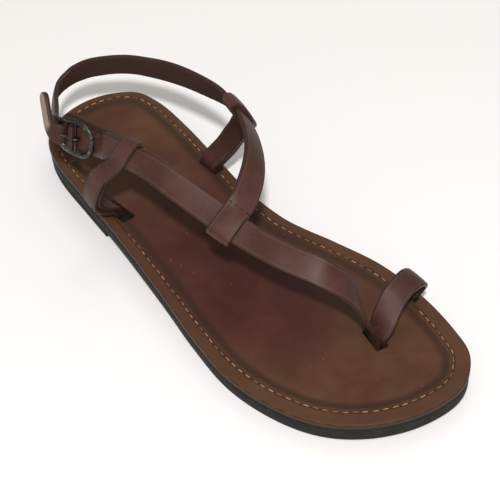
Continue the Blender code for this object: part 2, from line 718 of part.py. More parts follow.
def cut_prong_holes(upper, group):
    """Cuts the slit in the fold where the prong's hook sits, and the hole that it goes through."""
    middle, along, across, face = buckle_frame_axes()
    axes = (along, across, face)
    fold = BAR_WIRE / 2 + SEAT + STRAP_THICK + SEAT
    _, level = buckle_turn()
    low = middle - along * fold - across * HOLE_WIDTH / 2 - face * fold
    slit = make_box("prong_slit", low, (fold * 1.9, HOLE_WIDTH, fold * 2), axes, group)
    behind = BUCKLE_LENGTH / 2 + PRONG_WIRE
    bottom = FRAME_WIRE / 2
    start = middle - along * behind - across * HOLE_WIDTH / 2 + face * bottom
    hole = make_box("prong_hole", start,
                    (behind - fold, HOLE_WIDTH, level + STRAP_THICK - bottom), axes, group)
    for cutter in (slit, hole):
        add_boolean(upper, cutter, "DIFFERENCE")


def main():
    clear_scene()
    shoe = make_collection("sandal")
    cutters = make_collection("cutters")
    rubber = make_material("black_rubber", (0.018, 0.016, 0.014), 0.75)
    footbed_leather = make_material("footbed_leather", (0.115, 0.055, 0.030), 0.50)
    strap_leather = make_material("strap_leather", (0.075, 0.030, 0.022), 0.42)
    dark_metal = make_material("dark_metal", (0.11, 0.10, 0.09), 0.38, 1.0)
    sole_layer("outsole", OUTSOLE_INSET, underside, outsole_top, 0.0, shoe, rubber)
    footbed = sole_layer("footbed", 0.0, lambda x: outsole_top(x) + SEAT, footbed_top,
                         FOOTBED_SINK, shoe, footbed_leather)
    make_heel_lift(shoe, cutters, rubber)
    upper = make_upper(shoe, cutters, strap_leather)
    make_buckle(shoe, cutters, dark_metal)
    cut_prong_holes(upper, cutters)
    for slot in slot_table():
        add_boolean(footbed, make_slot(*slot, cutters), "DIFFERENCE")


main()
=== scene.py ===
# %% [markdown]
# # A leather thong sandal
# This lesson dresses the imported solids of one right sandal. Each step says what a piece is on
# the real shoe, how it could be made, and why it is made this way here. Everything is in
# metres, in the frame of the solids: +X from heel to toe, +Y to the inner side, +Z up, and the
# origin on the floor under the middle of the heel.

import math

import bmesh
import bpy
import numpy as np
from mathutils import Matrix, Vector


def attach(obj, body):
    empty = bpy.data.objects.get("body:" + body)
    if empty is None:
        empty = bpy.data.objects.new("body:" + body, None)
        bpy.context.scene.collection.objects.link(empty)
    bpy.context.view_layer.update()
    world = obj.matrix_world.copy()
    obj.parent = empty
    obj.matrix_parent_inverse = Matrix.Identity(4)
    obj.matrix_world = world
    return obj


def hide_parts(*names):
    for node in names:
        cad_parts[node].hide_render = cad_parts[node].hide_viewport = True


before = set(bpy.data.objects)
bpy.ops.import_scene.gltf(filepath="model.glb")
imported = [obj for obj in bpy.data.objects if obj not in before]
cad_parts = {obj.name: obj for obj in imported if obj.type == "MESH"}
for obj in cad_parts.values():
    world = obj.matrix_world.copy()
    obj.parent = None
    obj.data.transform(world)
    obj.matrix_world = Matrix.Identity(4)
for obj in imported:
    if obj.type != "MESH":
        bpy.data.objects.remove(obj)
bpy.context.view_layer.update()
print("nodes:", sorted(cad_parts))

# %% [markdown]
# ## Sizes
# The solids were made from named sizes and short tables. The same values are used here, so
# that each smooth surface lies where its solid lies. A strap is a list of rows: where its
# middle is, as shares of the shoe's length, its ball width and the straps' rise, and which
# way its width points.

# %% Sizes of the sole and the straps
SHOE_LENGTH = 0.260
BALL_WIDTH = 0.096
HEEL_REST_X = 0.033
HEEL_LIFT = 0.0045
HEEL_LIFT_LENGTH = 0.0725
OUTSOLE_THICK = 0.0075
FOOTBED_THICK = 0.0032
TOE_SPRING = 0.0015
FOOTBED_SINK = 0.0007
RIM_WIDTH = 0.0065
SEAT = 0.0003
STRAP_WIDTH = 0.0125
RING_WIDTH = 0.0118
TAB_WIDTH = 0.0110
STRAP_THICK = 0.0022
STRAP_RISE = 0.060
STRAP_GRIP = 0.0005
FOLD_GAP = 0.0004
TAIL_WIDTH = 0.0095
TAPER_LENGTH = 0.020
TAIL_LENGTH = 0.0205
TAIL_WAY = (-0.62, 0.36, 0.68)
TAIL_FACE = (-0.69, 0.05, -0.72)
SLOT_EASE = 0.0005
TAB_SLOT_ROOM = (0.0055, 0.0018)
BUCKLE_LENGTH = 0.0225
BUCKLE_HEIGHT = 0.0185
BUCKLE_CURVE = 2.6
BUCKLE_REACH = 0.62
FRAME_WIRE = 0.0022
BAR_WIRE = 0.0018
PRONG_WIRE = 0.0015
CROSSING_AT = 0.583
INNER_LOOP_AT = 0.402
OUTER_LOOP_AT = 0.356
BUCKLE_AT = (0.237, -0.371, 0.762)
BUCKLE_ALONG = (0.97, 0.24, 0.05)
BUCKLE_FACE = (0.28, -0.92, 0.28)

# %% Tables of the outline, the underside and the straps
OUTLINE = (
    # along, inner edge, outer edge
    (0.000, 0.042, 0.042),
    (0.020, 0.240, -0.172),
    (0.050, 0.338, -0.247),
    (0.100, 0.375, -0.296),
    (0.200, 0.367, -0.334),
    (0.300, 0.335, -0.365),
    (0.400, 0.310, -0.401),
    (0.500, 0.331, -0.441),
    (0.600, 0.411, -0.490),
    (0.700, 0.477, -0.521),
    (0.800, 0.483, -0.485),
    (0.900, 0.443, -0.365),
    (0.950, 0.398, -0.229),
    (0.980, 0.320, -0.090),
    (1.000, 0.156, 0.156),
)
PROFILE = (
    # along, share of the heel lift, share of the toe spring
    (0.000, 1.00, 0.00),
    (0.300, 1.00, 0.00),
    (0.360, 0.86, 0.00),
    (0.430, 0.48, 0.00),
    (0.500, 0.14, 0.00),
    (0.560, 0.00, 0.00),
    (0.780, 0.00, 0.00),
    (0.860, 0.00, 0.16),
    (0.930, 0.00, 0.50),
    (1.000, 0.00, 1.00),
)
INSTEP_STRAP = (
    # along, across, up, direction of the width
    (0.817, 0.125, 0.000, -0.95, 0.32, 0.00),
    (0.817, 0.124, 0.060, -0.95, 0.32, -0.05),
    (0.810, 0.085, 0.265, -0.90, 0.40, -0.22),
    (0.798, 0.068, 0.433, -0.72, 0.66, -0.19),
    (0.786, 0.047, 0.543, -0.50, 0.82, 0.10),
    (0.754, -0.025, 0.693, -0.30, 0.80, 0.50),
    (0.688, -0.104, 0.742, -0.20, 0.85, 0.48),
    (0.611, -0.155, 0.763, -0.20, 0.87, 0.45),
    (0.546, -0.200, 0.830, -0.15, 0.85, 0.50),
    (0.482, -0.240, 0.888, -0.10, 0.80, 0.60),
    (0.412, -0.274, 0.920, 0.00, 0.60, 0.80),
    (0.358, -0.297, 0.875, 0.00, 0.42, 0.90),
    (0.300, -0.313, 0.808, 0.00, 0.33, 0.94),
)
TOE_RING = (
    (0.8195, 0.1480, 0.000, -0.99, 0.04, 0.00),
    (0.8195, 0.1480, 0.028, -0.99, 0.02, 0.00),
    (0.8204, 0.1730, 0.085, -0.97, -0.14, 0.12),
    (0.8145, 0.2250, 0.183, -0.86, -0.28, 0.34),
    (0.8083, 0.2970, 0.262, -0.84, -0.18, 0.48),
    (0.8015, 0.4010, 0.275, -0.93, -0.10, 0.28),
    (0.7960, 0.4640, 0.190, -1.00, -0.04, 0.10),
    (0.7880, 0.4560, 0.095, -1.00, -0.05, 0.05),
    (0.7808, 0.4340, 0.030, -1.00, -0.07, 0.00),
    (0.7808, 0.4340, 0.000, -1.00, -0.07, 0.00),
)
ANKLE_STRAP = (
    (0.573, -0.083, 0.880, 0.80, 0.20, -0.55),
    (0.559, -0.010, 0.915, 0.74, 0.28, -0.55),
    (0.540, 0.062, 0.940, 0.58, 0.40, -0.66),
    (0.515, 0.131, 0.957, 0.42, 0.44, -0.78),
    (0.480, 0.197, 0.955, 0.32, 0.44, -0.84),
    (0.440, 0.252, 0.930, 0.25, 0.43, -0.86),
    (0.400, 0.292, 0.885, 0.18, 0.42, -0.88),
    (0.350, 0.318, 0.825, 0.08, 0.26, -0.96),
    (0.290, 0.318, 0.765, 0.00, 0.12, -0.99),
    (0.222, 0.295, 0.715, 0.00, 0.06, -1.00),
    (0.160, 0.258, 0.650, 0.00, 0.10, -1.00),
    (0.115, 0.200, 0.620, -0.06, 0.14, -1.00),
    (0.077, 0.122, 0.580, -0.16, 0.10, -1.00),
    (0.046, 0.042, 0.520, -0.26, 0.00, -1.00),
    (0.032, -0.032, 0.465, -0.30, -0.06, -1.00),
    (0.034, -0.102, 0.440, -0.26, -0.14, -1.00),
    (0.054, -0.164, 0.450, -0.16, -0.20, -1.00),
    (0.086, -0.222, 0.490, -0.08, -0.20, -1.00),
    (0.121, -0.278, 0.545, 0.00, -0.20, -1.00),
    (0.150, -0.327, 0.600, 0.04, -0.18, -1.00),
)
INNER_TAB = (
    (0.3096, 0.279, 0.000, 1.00, 0.00, 0.00),
    (0.3100, 0.279, 0.035, 1.00, 0.00, 0.00),
    (0.3154, 0.305, 0.092, 1.00, 0.00, -0.10),
    (0.3250, 0.349, 0.183, 0.97, 0.00, -0.25),
    (0.3385, 0.378, 0.317, 0.95, 0.01, -0.30),
    (0.3558, 0.381, 0.450, 0.94, 0.03, -0.32),
    (0.3730, 0.367, 0.583, 0.94, 0.04, -0.30),
)
OUTER_TAB = (
    (0.2740, -0.286, 0.000, 0.98, 0.10, 0.05),
    (0.2738, -0.293, 0.022, 0.98, 0.10, 0.03),
    (0.2742, -0.332, 0.083, 0.98, 0.05, -0.10),
    (0.2790, -0.385, 0.183, 0.97, 0.00, -0.26),
    (0.2940, -0.420, 0.333, 0.95, 0.00, -0.30),
    (0.3090, -0.423, 0.483, 0.94, 0.03, -0.30),
    (0.3165, -0.404, 0.600, 0.94, 0.06, -0.30),
)

# %% [markdown]
# ## A smooth line through a table
# A table of a dozen rows has to become a flowing strap. Straight pieces would show as facets,
# and one high polynomial would swing wildly. Cubic pieces that share their slopes at the rows
# stay close to the rows and bend evenly, so they are used for every curve of the shoe.

# %% Curves
def unit(vectors):
    """Each row divided by its own length."""
    vectors = np.asarray(vectors, float)
    return vectors / np.linalg.norm(vectors, axis=-1, keepdims=True)


def smooth_curve(keys, values, at):
    """Cubic Hermite pieces: at t in 0..1 between two rows, the start value times
    (1+2t)(1-t)^2, the end value times t^2(3-2t), and the two slopes times t(1-t)^2 and
    t^2(t-1). A slope is the change between a row's two neighbours."""
    keys = np.asarray(keys, float)
    values = np.asarray(values, float)
    slopes = np.gradient(values, keys, axis=0)
    spot = np.clip(np.searchsorted(keys, at, side="right") - 1, 0, len(keys) - 2)
    shape = (-1,) + (1,) * (values.ndim - 1)
    span = (keys[spot + 1] - keys[spot]).reshape(shape)
    t = (np.asarray(at) - keys[spot]).reshape(shape) / span
    start = (1 + 2 * t) * (1 - t) ** 2 * values[spot] + t * (1 - t) ** 2 * span * slopes[spot]
    end = t ** 2 * (3 - 2 * t) * values[spot + 1] + t ** 2 * (t - 1) * span * slopes[spot + 1]
    return start + end


def arc_keys(points):
    """Distance run along a line up to each of its points."""
    steps = np.linalg.norm(np.diff(points, axis=0), axis=1)
    return np.concatenate([[0.0], np.cumsum(steps)])


def smooth_path(points, wide, step):
    """The smooth curve through points and width directions, read at even steps."""
    keys = arc_keys(points)
    at = np.linspace(0.0, keys[-1], max(2, int(round(keys[-1] / step)) + 1))
    return smooth_curve(keys, points, at), unit(smooth_curve(keys, wide, at))


def soft_step(value, low, high):
    """0 below low, 1 above high, and 3t^2 - 2t^3 between them."""
    t = np.clip((np.asarray(value, float) - low) / (high - low), 0.0, 1.0)
    return t * t * (3 - 2 * t)


print("half way up a soft step:", float(soft_step(0.5, 0, 1)))

# %% [markdown]
# ## The sole's shape
# Seen from above the sole is a closed loop. Its table gives the inner and outer edge at each
# share of the length. The loop is read by an angle that runs from the heel to the toe and
# back, which crowds its points at the two round ends, where they are needed most.

# %% Outline and heights of the sole
def shoe_x(share):
    return np.asarray(share) * SHOE_LENGTH - HEEL_REST_X


def sole_loop(inset, steps):
    """The loop's points, inner edge from heel to toe and then back along the outer edge. An
    angle a gives the share (1 - cos a) / 2 of the length. Each point moves inwards by inset,
    square to the line between its neighbours."""
    rows = np.array(OUTLINE)
    angle = np.arccos(1 - 2 * rows[:, 0])
    inner = np.column_stack([angle, rows[:, 1]])
    outer = np.column_stack([2 * math.pi - angle, rows[:, 2]])[-2:0:-1]
    once = np.vstack([inner, outer])
    turn = np.array([2 * math.pi, 0.0])
    table = np.vstack([once[-4:] - turn, once, once[:4] + turn])
    around = np.linspace(0.0, 2 * math.pi, 2 * steps + 1)[:-1]
    x = shoe_x((1 - np.cos(around)) / 2)
    loop = np.column_stack([x, smooth_curve(table[:, 0], table[:, 1], around) * BALL_WIDTH])
    ahead = np.roll(loop, -1, axis=0) - np.roll(loop, 1, axis=0)
    inward = unit(np.column_stack([ahead[:, 1], -ahead[:, 0]]))
    return loop + inward * np.reshape(inset, (-1, 1))


def underside(x):
    """Straight pieces between the rows of the underside's table."""
    rows = np.array(PROFILE)
    share = np.clip((np.asarray(x, float) + HEEL_REST_X) / SHOE_LENGTH, 0.0, 1.0)
    return np.interp(share, rows[:, 0], rows[:, 1] * HEEL_LIFT + rows[:, 2] * TOE_SPRING)


def outsole_top(x):
    return underside(x) + OUTSOLE_THICK


def footbed_top(x):
    return outsole_top(x) + SEAT + FOOTBED_THICK


def edge_distance(points):
    """Distance of each point, seen from above, to the nearest point of the footbed's edge."""
    loop = sole_loop(0.0, 240)
    far = np.empty(len(points))
    for part in np.array_split(np.arange(len(points)), max(1, len(points) // 4000)):
        gap = points[part, None, :2] - loop[None, :, :]
        far[part] = np.sqrt((gap ** 2).sum(axis=2).min(axis=1))
    return far


print("sole loop points:", len(sole_loop(0.0, 240)))

# %% [markdown]
# ## From arrays to a mesh
# Every piece below is a block of points worked out at once. One helper puts the points and
# their faces into a mesh, turns the faces outwards, and stores extra numbers at each point,
# such as how far it lies across a strap. The materials read those numbers later.

# %% Mesh helpers
def grid_faces(rows, columns, first=0, around=True):
    """Squares between point (i, j) and its neighbours in the next row and column."""
    i, j = np.meshgrid(np.arange(rows - 1), np.arange(columns if around else columns - 1),
                       indexing="ij")
    k = (j + 1) % columns
    corners = [i * columns + j, (i + 1) * columns + j, (i + 1) * columns + k, i * columns + k]
    return (first + np.stack(corners, axis=-1)).reshape(-1, 4).tolist()


def store_numbers(mesh, numbers):
    """Writes one value per point under each name."""
    for name, values in numbers.items():
        layer = mesh.attributes.get(name) or mesh.attributes.new(name, "FLOAT", "POINT")
        layer.data.foreach_set("value", np.asarray(values, np.float32))


def make_piece(name, points, faces, numbers=None, flat=()):
    """A mesh object at the origin, shaded smooth apart from the faces listed in flat."""
    mesh = bpy.data.meshes.new(name)
    mesh.from_pydata(np.asarray(points).tolist(), [], faces)
    smooth = np.ones(len(mesh.polygons), bool)
    smooth[list(flat)] = False
    mesh.polygons.foreach_set("use_smooth", smooth)
    work = bmesh.new()
    work.from_mesh(mesh)
    bmesh.ops.recalc_face_normals(work, faces=work.faces)
    work.to_mesh(mesh)
    work.free()
    store_numbers(mesh, numbers or {})
    piece = bpy.data.objects.new(name, mesh)
    bpy.context.scene.collection.objects.link(piece)
    print(name, len(mesh.polygons), "faces")
    return piece


# %% [markdown]
# ## The straps' routes
# The real upper has four kinds of strap: one from the toe slot over the instep to the buckle,
# a loop for the big toe, a long one behind the heel, and two folded tabs at the sides. A
# short guard lies behind the buckle. Each route below is worked out from its table, and where
# straps wrap round each other the bend is a half circle round the other strap's edge.

# %% Rows of a strap, and its local directions
def strap_rows(table):
    """Points and width directions of a table. A height of 0 is an end inside its slot."""
    rows = np.array(table)
    x = shoe_x(rows[:, 0])
    z = footbed_top(x) + rows[:, 2] * STRAP_RISE
    z = np.where(rows[:, 2] == 0.0, outsole_top(x) + SEAT * 2, z)
    return np.column_stack([x, rows[:, 1] * BALL_WIDTH, z]), unit(rows[:, 3:6])


def path_frame(points, wide):
    """Tangent, width direction made square to it, and the cross product of the two."""
    tangent = unit(np.gradient(points, axis=0))
    across = unit(wide - (wide * tangent).sum(axis=1, keepdims=True) * tangent)
    return tangent, across, np.cross(tangent, across)


def frame_at(points, wide, share):
    """The strap's middle and directions where it crosses a share of the shoe's length."""
    tangent, across, normal = path_frame(points, wide)
    k = int(np.abs(points[:, 0] - shoe_x(share)).argmin())
    return points[k], tangent[k], across[k], normal[k]


CAD_STEP = 0.0036
SHORT_STEP = CAD_STEP * 0.6
FOLD_STEPS = 6
FOLD_ROOM = 0.0005


def wrap_points(centre, up, out, width):
    """Half a circle round a strap's edge, from its outer to its inner face, with a straight
    point before and after. The circle's radius is the two straps' thickness less the grip."""
    layer = STRAP_THICK - STRAP_GRIP
    turn = width / 2 + FOLD_ROOM - layer / 2
    angles = np.linspace(0.0, math.pi, FOLD_STEPS + 1)[:, None]
    low = centre - up * (width * 0.42)
    arc = centre + up * (turn + layer * np.sin(angles)) + out * (layer * np.cos(angles))
    return np.vstack([low + out * layer, arc, low - out * layer])


# %% The buckle's own directions, and the turn round its rim
def buckle_axes():
    """Middle of the buckle, then along the strap, across it, and outwards."""
    x = shoe_x(BUCKLE_AT[0])
    middle = np.array([x, BUCKLE_AT[1] * BALL_WIDTH, footbed_top(x) + BUCKLE_AT[2] * STRAP_RISE])
    along = unit(BUCKLE_ALONG)
    face = unit(BUCKLE_FACE - np.dot(BUCKLE_FACE, along) * along)
    return middle, along, np.cross(face, along), face


def buckle_turn():
    """Where the ankle strap's turn is centred behind the middle, and its radius."""
    half_length = (BUCKLE_LENGTH - FRAME_WIRE) / 2
    half_height = (BUCKLE_HEIGHT - FRAME_WIRE) / 2
    share = min(TAIL_WIDTH / 2 / half_height, 0.95)
    sag = half_length * (1 - (1 - share ** BUCKLE_CURVE) ** (1 / BUCKLE_CURVE))
    return half_length - sag / 2, FRAME_WIRE / 2 + SEAT + sag / 2 + STRAP_THICK / 2


middle, along, high, face = buckle_axes()
print("buckle middle in mm:", (middle * 1000).round(1))

# %% Route of the instep strap
def instep_route():
    """Table rows, a straight entry under the front rim, then an arc round the bar."""
    points, wide = strap_rows(INSTEP_STRAP)
    under = FRAME_WIRE / 2 + SEAT + STRAP_THICK / 2
    bend = BAR_WIRE / 2 + SEAT + STRAP_THICK / 2
    entry = middle + along * (BUCKLE_LENGTH * BUCKLE_REACH) - face * under
    angles = np.linspace(-0.5 * math.pi, 0.62 * math.pi, FOLD_STEPS + 2)[:, None]
    fold = middle - along * (bend * np.cos(angles)) + face * (bend * np.sin(angles))
    points, wide = smooth_path(np.vstack([points, entry, fold[:1]]),
                               np.vstack([wide, high, high]), CAD_STEP)
    return np.vstack([points, fold[1:]]), np.vstack([wide, np.tile(high, (len(fold) - 1, 1))])


# %% Route of the ankle strap
def ankle_route(instep):
    """A wrap round the instep strap, the table's rows, the turn round the rim and the tail."""
    centre, tangent, across, normal = frame_at(*instep, CROSSING_AT)
    over = normal if normal[2] > 0 else -normal
    inward = across if across[1] > 0 else -across
    forward = tangent if tangent[0] > 0 else -tangent
    wrap = wrap_points(centre, -inward, over, STRAP_WIDTH)[::-1]
    points, wide = strap_rows(ANKLE_STRAP)
    rim, level = buckle_turn()
    angles = np.linspace(-0.5 * math.pi, 0.5 * math.pi, FOLD_STEPS + 3)[:, None]
    turn = middle - along * (rim - level * np.cos(angles)) + face * (level * np.sin(angles))
    entry = middle - along * (BUCKLE_LENGTH * BUCKLE_REACH) - face * level
    body, body_wide = smooth_path(np.vstack([wrap[-1:], points, entry, turn[:1]]),
                                  np.vstack([forward, wide, -high, -high]), CAD_STEP)
    share = np.linspace(0.0, 1.0, 9)[1:, None]
    bend = np.clip(share * 2.5, 0.0, 1.0)
    way = unit(-along * (1 - bend) + unit(TAIL_WAY) * bend)
    tail = turn[-1] + np.cumsum(way * TAIL_LENGTH / len(share), axis=0)
    tail_wide = unit(-high * (1 - bend) + unit(TAIL_FACE) * bend)
    points = np.vstack([wrap[:-1], body, turn[1:], tail])
    wide = np.vstack([np.tile(forward, (len(wrap) - 1, 1)), body_wide,
                      np.tile(-high, (len(turn) - 1, 1)), tail_wide])
    narrow_from = len(points) - len(tail) - len(turn) + 1
    behind = np.linalg.norm(points - points[narrow_from - 1], axis=1)
    narrow = np.clip(1.3 - behind / TAPER_LENGTH, 0.0, 1.0)
    narrow[narrow_from:] = 1.0
    return points, wide, STRAP_WIDTH + (TAIL_WIDTH - STRAP_WIDTH) * narrow


# %% Route of a side tab
def tab_route(table, strap, share, side, lean):
    """Up from the slot, over the strap and down again, half a fold gap from the middle. The
    fold leans forwards by lean times the height over the strap's middle."""
    points, wide = strap_rows(table)
    stem, stem_wide = smooth_path(points, wide, SHORT_STEP)
    _, _, stem_normal = path_frame(stem, stem_wide)
    centre, tangent, across, normal = frame_at(*strap, share)
    up = across if across[2] > 0 else -across
    out = normal if normal[1] * side > 0 else -normal
    forward = tangent if tangent[0] > 0 else -tangent
    wrap = wrap_points(centre, up, out, STRAP_WIDTH)
    wrap = wrap + forward * (lean * ((wrap - centre) @ up))[:, None]
    outside = stem_normal * np.sign(stem_normal[:, 1:2] * side)
    half = (STRAP_THICK + FOLD_GAP) / 2
    line = np.vstack([stem + outside * half, wrap, (stem - outside * half)[::-1]])
    turn = np.vstack([stem_wide, np.tile(forward, (len(wrap), 1)), stem_wide[::-1]])
    return line, turn


instep = instep_route()
ankle = ankle_route(instep)
ring = smooth_path(*strap_rows(TOE_RING), SHORT_STEP)
inner_tab = tab_route(INNER_TAB, ankle[:2], INNER_LOOP_AT, 1.0, 0.0)
OUTER_LEAN = 0.55
outer_tab = tab_route(OUTER_TAB, instep, OUTER_LOOP_AT, -1.0, OUTER_LEAN)
print("strap lengths in mm:", [round(arc_keys(r[0])[-1] * 1000) for r in
                               (instep, ankle, ring, inner_tab, outer_tab)])

# %% [markdown]
# ## A strap of leather
# A cut strap isn't a plain bar. Its grain side is slightly crowned, its corners are rubbed
# round, and its flesh side is flat and rough. A flat curve with a bevel would give a bar, so
# the section is drawn point by point and carried along the route. At each point the mesh
# keeps four numbers: how far across it lies, which side it is on, how sharply the strap bends
# there, and whether its flesh side is tan.

# %% Section and surface of a strap
CORNER = 0.0006
CROWN = 0.00025
ROW_STEP = 0.0011
FINE_STEP = 0.0008
TIGHT_BEND = (45.0, 110.0)
TAN_FROM = (0.0150, 0.0180)


def strap_section(thick):
    """One closed loop round a strap: a share of the half width, an offset from there, and a
    height. The grain side rises by CROWN (1 - s^2), and each corner is a quarter circle."""
    share = np.linspace(-1.0, 1.0, 11)
    quarter = np.linspace(0.0, math.pi / 2, 5)[1:-1]
    top = thick / 2 + CROWN * (1 - share ** 2)
    inner = thick / 2 - CORNER
    side_offset = CORNER * np.sin(quarter)
    side_height = inner + CORNER * np.cos(quarter)
    ones = np.ones(len(quarter))
    shares = np.concatenate([share, ones, ones, -share, -ones, -ones])
    offsets = np.concatenate([share * 0, side_offset, side_offset[::-1],
                              share * 0, -side_offset, -side_offset[::-1]])
    heights = np.concatenate([top, side_height, -side_height[::-1],
                              share * 0 - thick / 2, -side_height, side_height[::-1]])
    return shares, offsets, heights


def make_strap(name, points, wide, width, outer, step=ROW_STEP, end_round=0.0, tan_end=0.0):
    """Point = middle + (share (half width - corner) + offset) across + height outwards. With
    end_round, the last stretch of that length narrows like a quarter of an ellipse."""
    keys = arc_keys(points)
    at = np.linspace(0.0, keys[-1], int(keys[-1] / step) + 1)
    width = np.interp(at, keys, np.broadcast_to(width, len(points)))
    if end_round:
        left = np.clip((keys[-1] - at) / end_round, 0.0, 1.0)
        width = width * np.sqrt(np.clip(1 - (1 - left) ** 2.4, 0.02, 1.0))
    middles = smooth_curve(keys, points, at)
    tangent, across, normal = path_frame(middles, unit(smooth_curve(keys, wide, at)))
    bend = np.linalg.norm(np.gradient(tangent, at, axis=0), axis=1)
    shares, offsets, heights = strap_section(STRAP_THICK)
    reach = shares * (width[:, None] / 2 - CORNER) + offsets
    grid = (middles[:, None, :] + reach[..., None] * across[:, None, :]
            + outer * heights[None, :, None] * normal[:, None, :])
    rows, columns = grid.shape[:2]
    faces = grid_faces(rows, columns)
    faces += [list(range(columns)), list(range((rows - 1) * columns, rows * columns))]
    signed = shares + offsets / (STRAP_WIDTH / 2)
    numbers = {
        "across": np.tile(signed, rows),
        "grain": np.tile((heights > 0).astype(float), rows),
        "bend": np.repeat(soft_step(bend, *TIGHT_BEND), columns),
        "tan": np.repeat(tan_end * (1 - soft_step(keys[-1] - at, *TAN_FROM)), columns),
    }
    return make_piece(name, grid.reshape(-1, 3), faces, numbers,
                      flat=(len(faces) - 2, len(faces) - 1))


# %% A tab that narrows, and the guard behind the buckle
FOLD_WIDTH = 0.0090
FOLD_NARROWS = (0.008, 0.020)
GUARD_WIDTH = 0.0155
GUARD_REACH = (0.0110, 0.0118)
GUARD_RAISE = 0.0009
GUARD_FROM = 0.335


def fold_width(points):
    """Full width at both feet of a tab, and less where it folds over the strap."""
    keys = arc_keys(points)
    foot = np.minimum(keys, keys[-1] - keys)
    return TAB_WIDTH + (FOLD_WIDTH - TAB_WIDTH) * soft_step(foot, *FOLD_NARROWS)


def guard_route():
    """A flap from the foot's side of the instep strap to just past the buckle's rear rim."""
    behind = buckle_turn()[1] + STRAP_THICK + SEAT
    ends = np.linspace(GUARD_REACH[0], -GUARD_REACH[1], 7)[:, None]
    line = middle + along * ends - face * behind + high * GUARD_RAISE
    centre, _, across, normal = frame_at(*instep, GUARD_FROM)
    foot_side = normal if normal[1] > 0 else -normal
    up = across if across[2] > 0 else -across
    start = centre + foot_side * (STRAP_THICK + SEAT)
    wide = np.vstack([up, np.tile(high, (len(line), 1))])
    return smooth_path(np.vstack([start, line]), wide, SHORT_STEP)


def guard_width(points):
    """As wide as the strap at its start, and its own width behind the buckle."""
    return np.linspace(STRAP_WIDTH - 0.001, GUARD_WIDTH, len(points))


guard = guard_route()

# %% The straps
straps = {
    "instep_strap": make_strap("instep_strap", *instep, STRAP_WIDTH, -1.0),
    "ankle_strap": make_strap("ankle_strap", *ankle, -1.0, end_round=0.004, tan_end=1.0),
    "toe_ring": make_strap("toe_ring", *ring, RING_WIDTH, 1.0, step=FINE_STEP),
    "inner_tab": make_strap("inner_tab", *inner_tab, TAB_WIDTH, 1.0, step=FINE_STEP),
    "outer_tab": make_strap("outer_tab", *outer_tab, fold_width(outer_tab[0]), -1.0, step=FINE_STEP),
    "buckle_guard": make_strap("buckle_guard", *guard, guard_width(guard[0]), 1.0,
                               end_round=0.006),
}

# %% [markdown]
# ## The sole's layers
# The outsole, the heel lift and the footbed are slabs with the same outline. Each is a stack
# of loops that run round its underside, its wall and its top, closed by strips across the
# middle. The footbed's top needs more loops than the rest: it has a rubbed edge, a groove for
# the stitches and a slope down to the part where the foot has pressed it in.

# %% A slab from a stack of loops
LOOP_STEPS = 160
BED_STEPS = 200


def slab(loops, steps, across=1):
    """loops is a list of (inset, height function of x and y, raise). Both ends of the stack
    are closed by rows from the inner to the outer edge with across squares each, whose
    height is the last loop's own function."""
    points = []
    for inset, height, lift in loops:
        ring_xy = sole_loop(inset, steps)
        points.append(np.column_stack([ring_xy, height(ring_xy[:, 0], ring_xy[:, 1]) + lift]))
    count = 2 * steps
    faces = grid_faces(len(loops), count)
    total = len(loops) * count
    for end, squares in ((0, 1), (len(loops) - 1, across)):
        first = end * count
        inner = first + np.arange(1, steps)
        outer = first + count - np.arange(1, steps)
        columns = [inner]
        for share in np.arange(1, squares) / squares:
            flat = points[end][1:steps, :2] * (1 - share)
            flat = flat + points[end][count - np.arange(1, steps), :2] * share
            z = loops[end][1](flat[:, 0], flat[:, 1]) + loops[end][2]
            points.append(np.column_stack([flat, z]))
            columns.append(total + np.arange(steps - 1))
            total += steps - 1
        columns.append(outer)
        table = np.stack(columns, axis=1)
        quads = np.stack([table[:-1, :-1], table[1:, :-1], table[1:, 1:], table[:-1, 1:]],
                         axis=-1)
        faces += quads.reshape(-1, 4).tolist()
        for tip, row in ((first, table[0]), (first + steps, table[-1])):
            faces += [[int(tip), int(a), int(b)] for a, b in zip(row[:-1], row[1:])]
    return np.vstack(points), faces


# %% The outsole and the heel lift
def low_outsole(x, y):
    return underside(x)


def high_outsole(x, y):
    return outsole_top(x)


outsole_loops = [(0.0030, low_outsole, 0.0), (0.0012, low_outsole, 0.0),
                 (0.0006, low_outsole, 0.0003), (0.0004, low_outsole, 0.0009),
                 (0.0004, low_outsole, OUTSOLE_THICK * 0.5),
                 (0.0004, high_outsole, -0.0014), (0.0006, high_outsole, -0.0011),
                 (0.0006, high_outsole, -0.0009), (0.0004, high_outsole, -0.0006),
                 (0.0005, high_outsole, -0.0002), (0.0009, high_outsole, 0.0),
                 (0.0030, high_outsole, 0.0)]
outsole = make_piece("rubber_outsole", *slab(outsole_loops, LOOP_STEPS))
sole_points = np.array([v.co for v in outsole.data.vertices])
hidden = sole_points[:, 2] > outsole_top(sole_points[:, 0]) - 0.0001
store_numbers(outsole.data, {"covered": hidden.astype(float)})


def low_lift(x, y):
    """The floor. The slanted step in front is cut out afterwards."""
    return np.zeros_like(x)


def high_lift(x, y):
    return np.full_like(x, HEEL_LIFT - SEAT)


# %% [markdown]
# ## Cutting
# Holes such as the four slots could be left out of the grid, but their edges then have to be
# woven into it by hand. A Boolean cut does this exactly, and the result is stored as a plain
# mesh, so that nothing has to be worked out again when the picture is made.

# %% A prism to cut with, and the cut itself
def prism(name, outline, low, high):
    """A closed prism over an outline of x and y, from height low to height high."""
    outline = np.asarray(outline, float)
    count = len(outline)
    ends = [np.column_stack([outline, np.full(count, z)]) for z in (low, high)]
    faces = [list(range(count)), list(range(count, 2 * count))] + grid_faces(2, count)
    return make_piece(name, np.vstack(ends), faces)


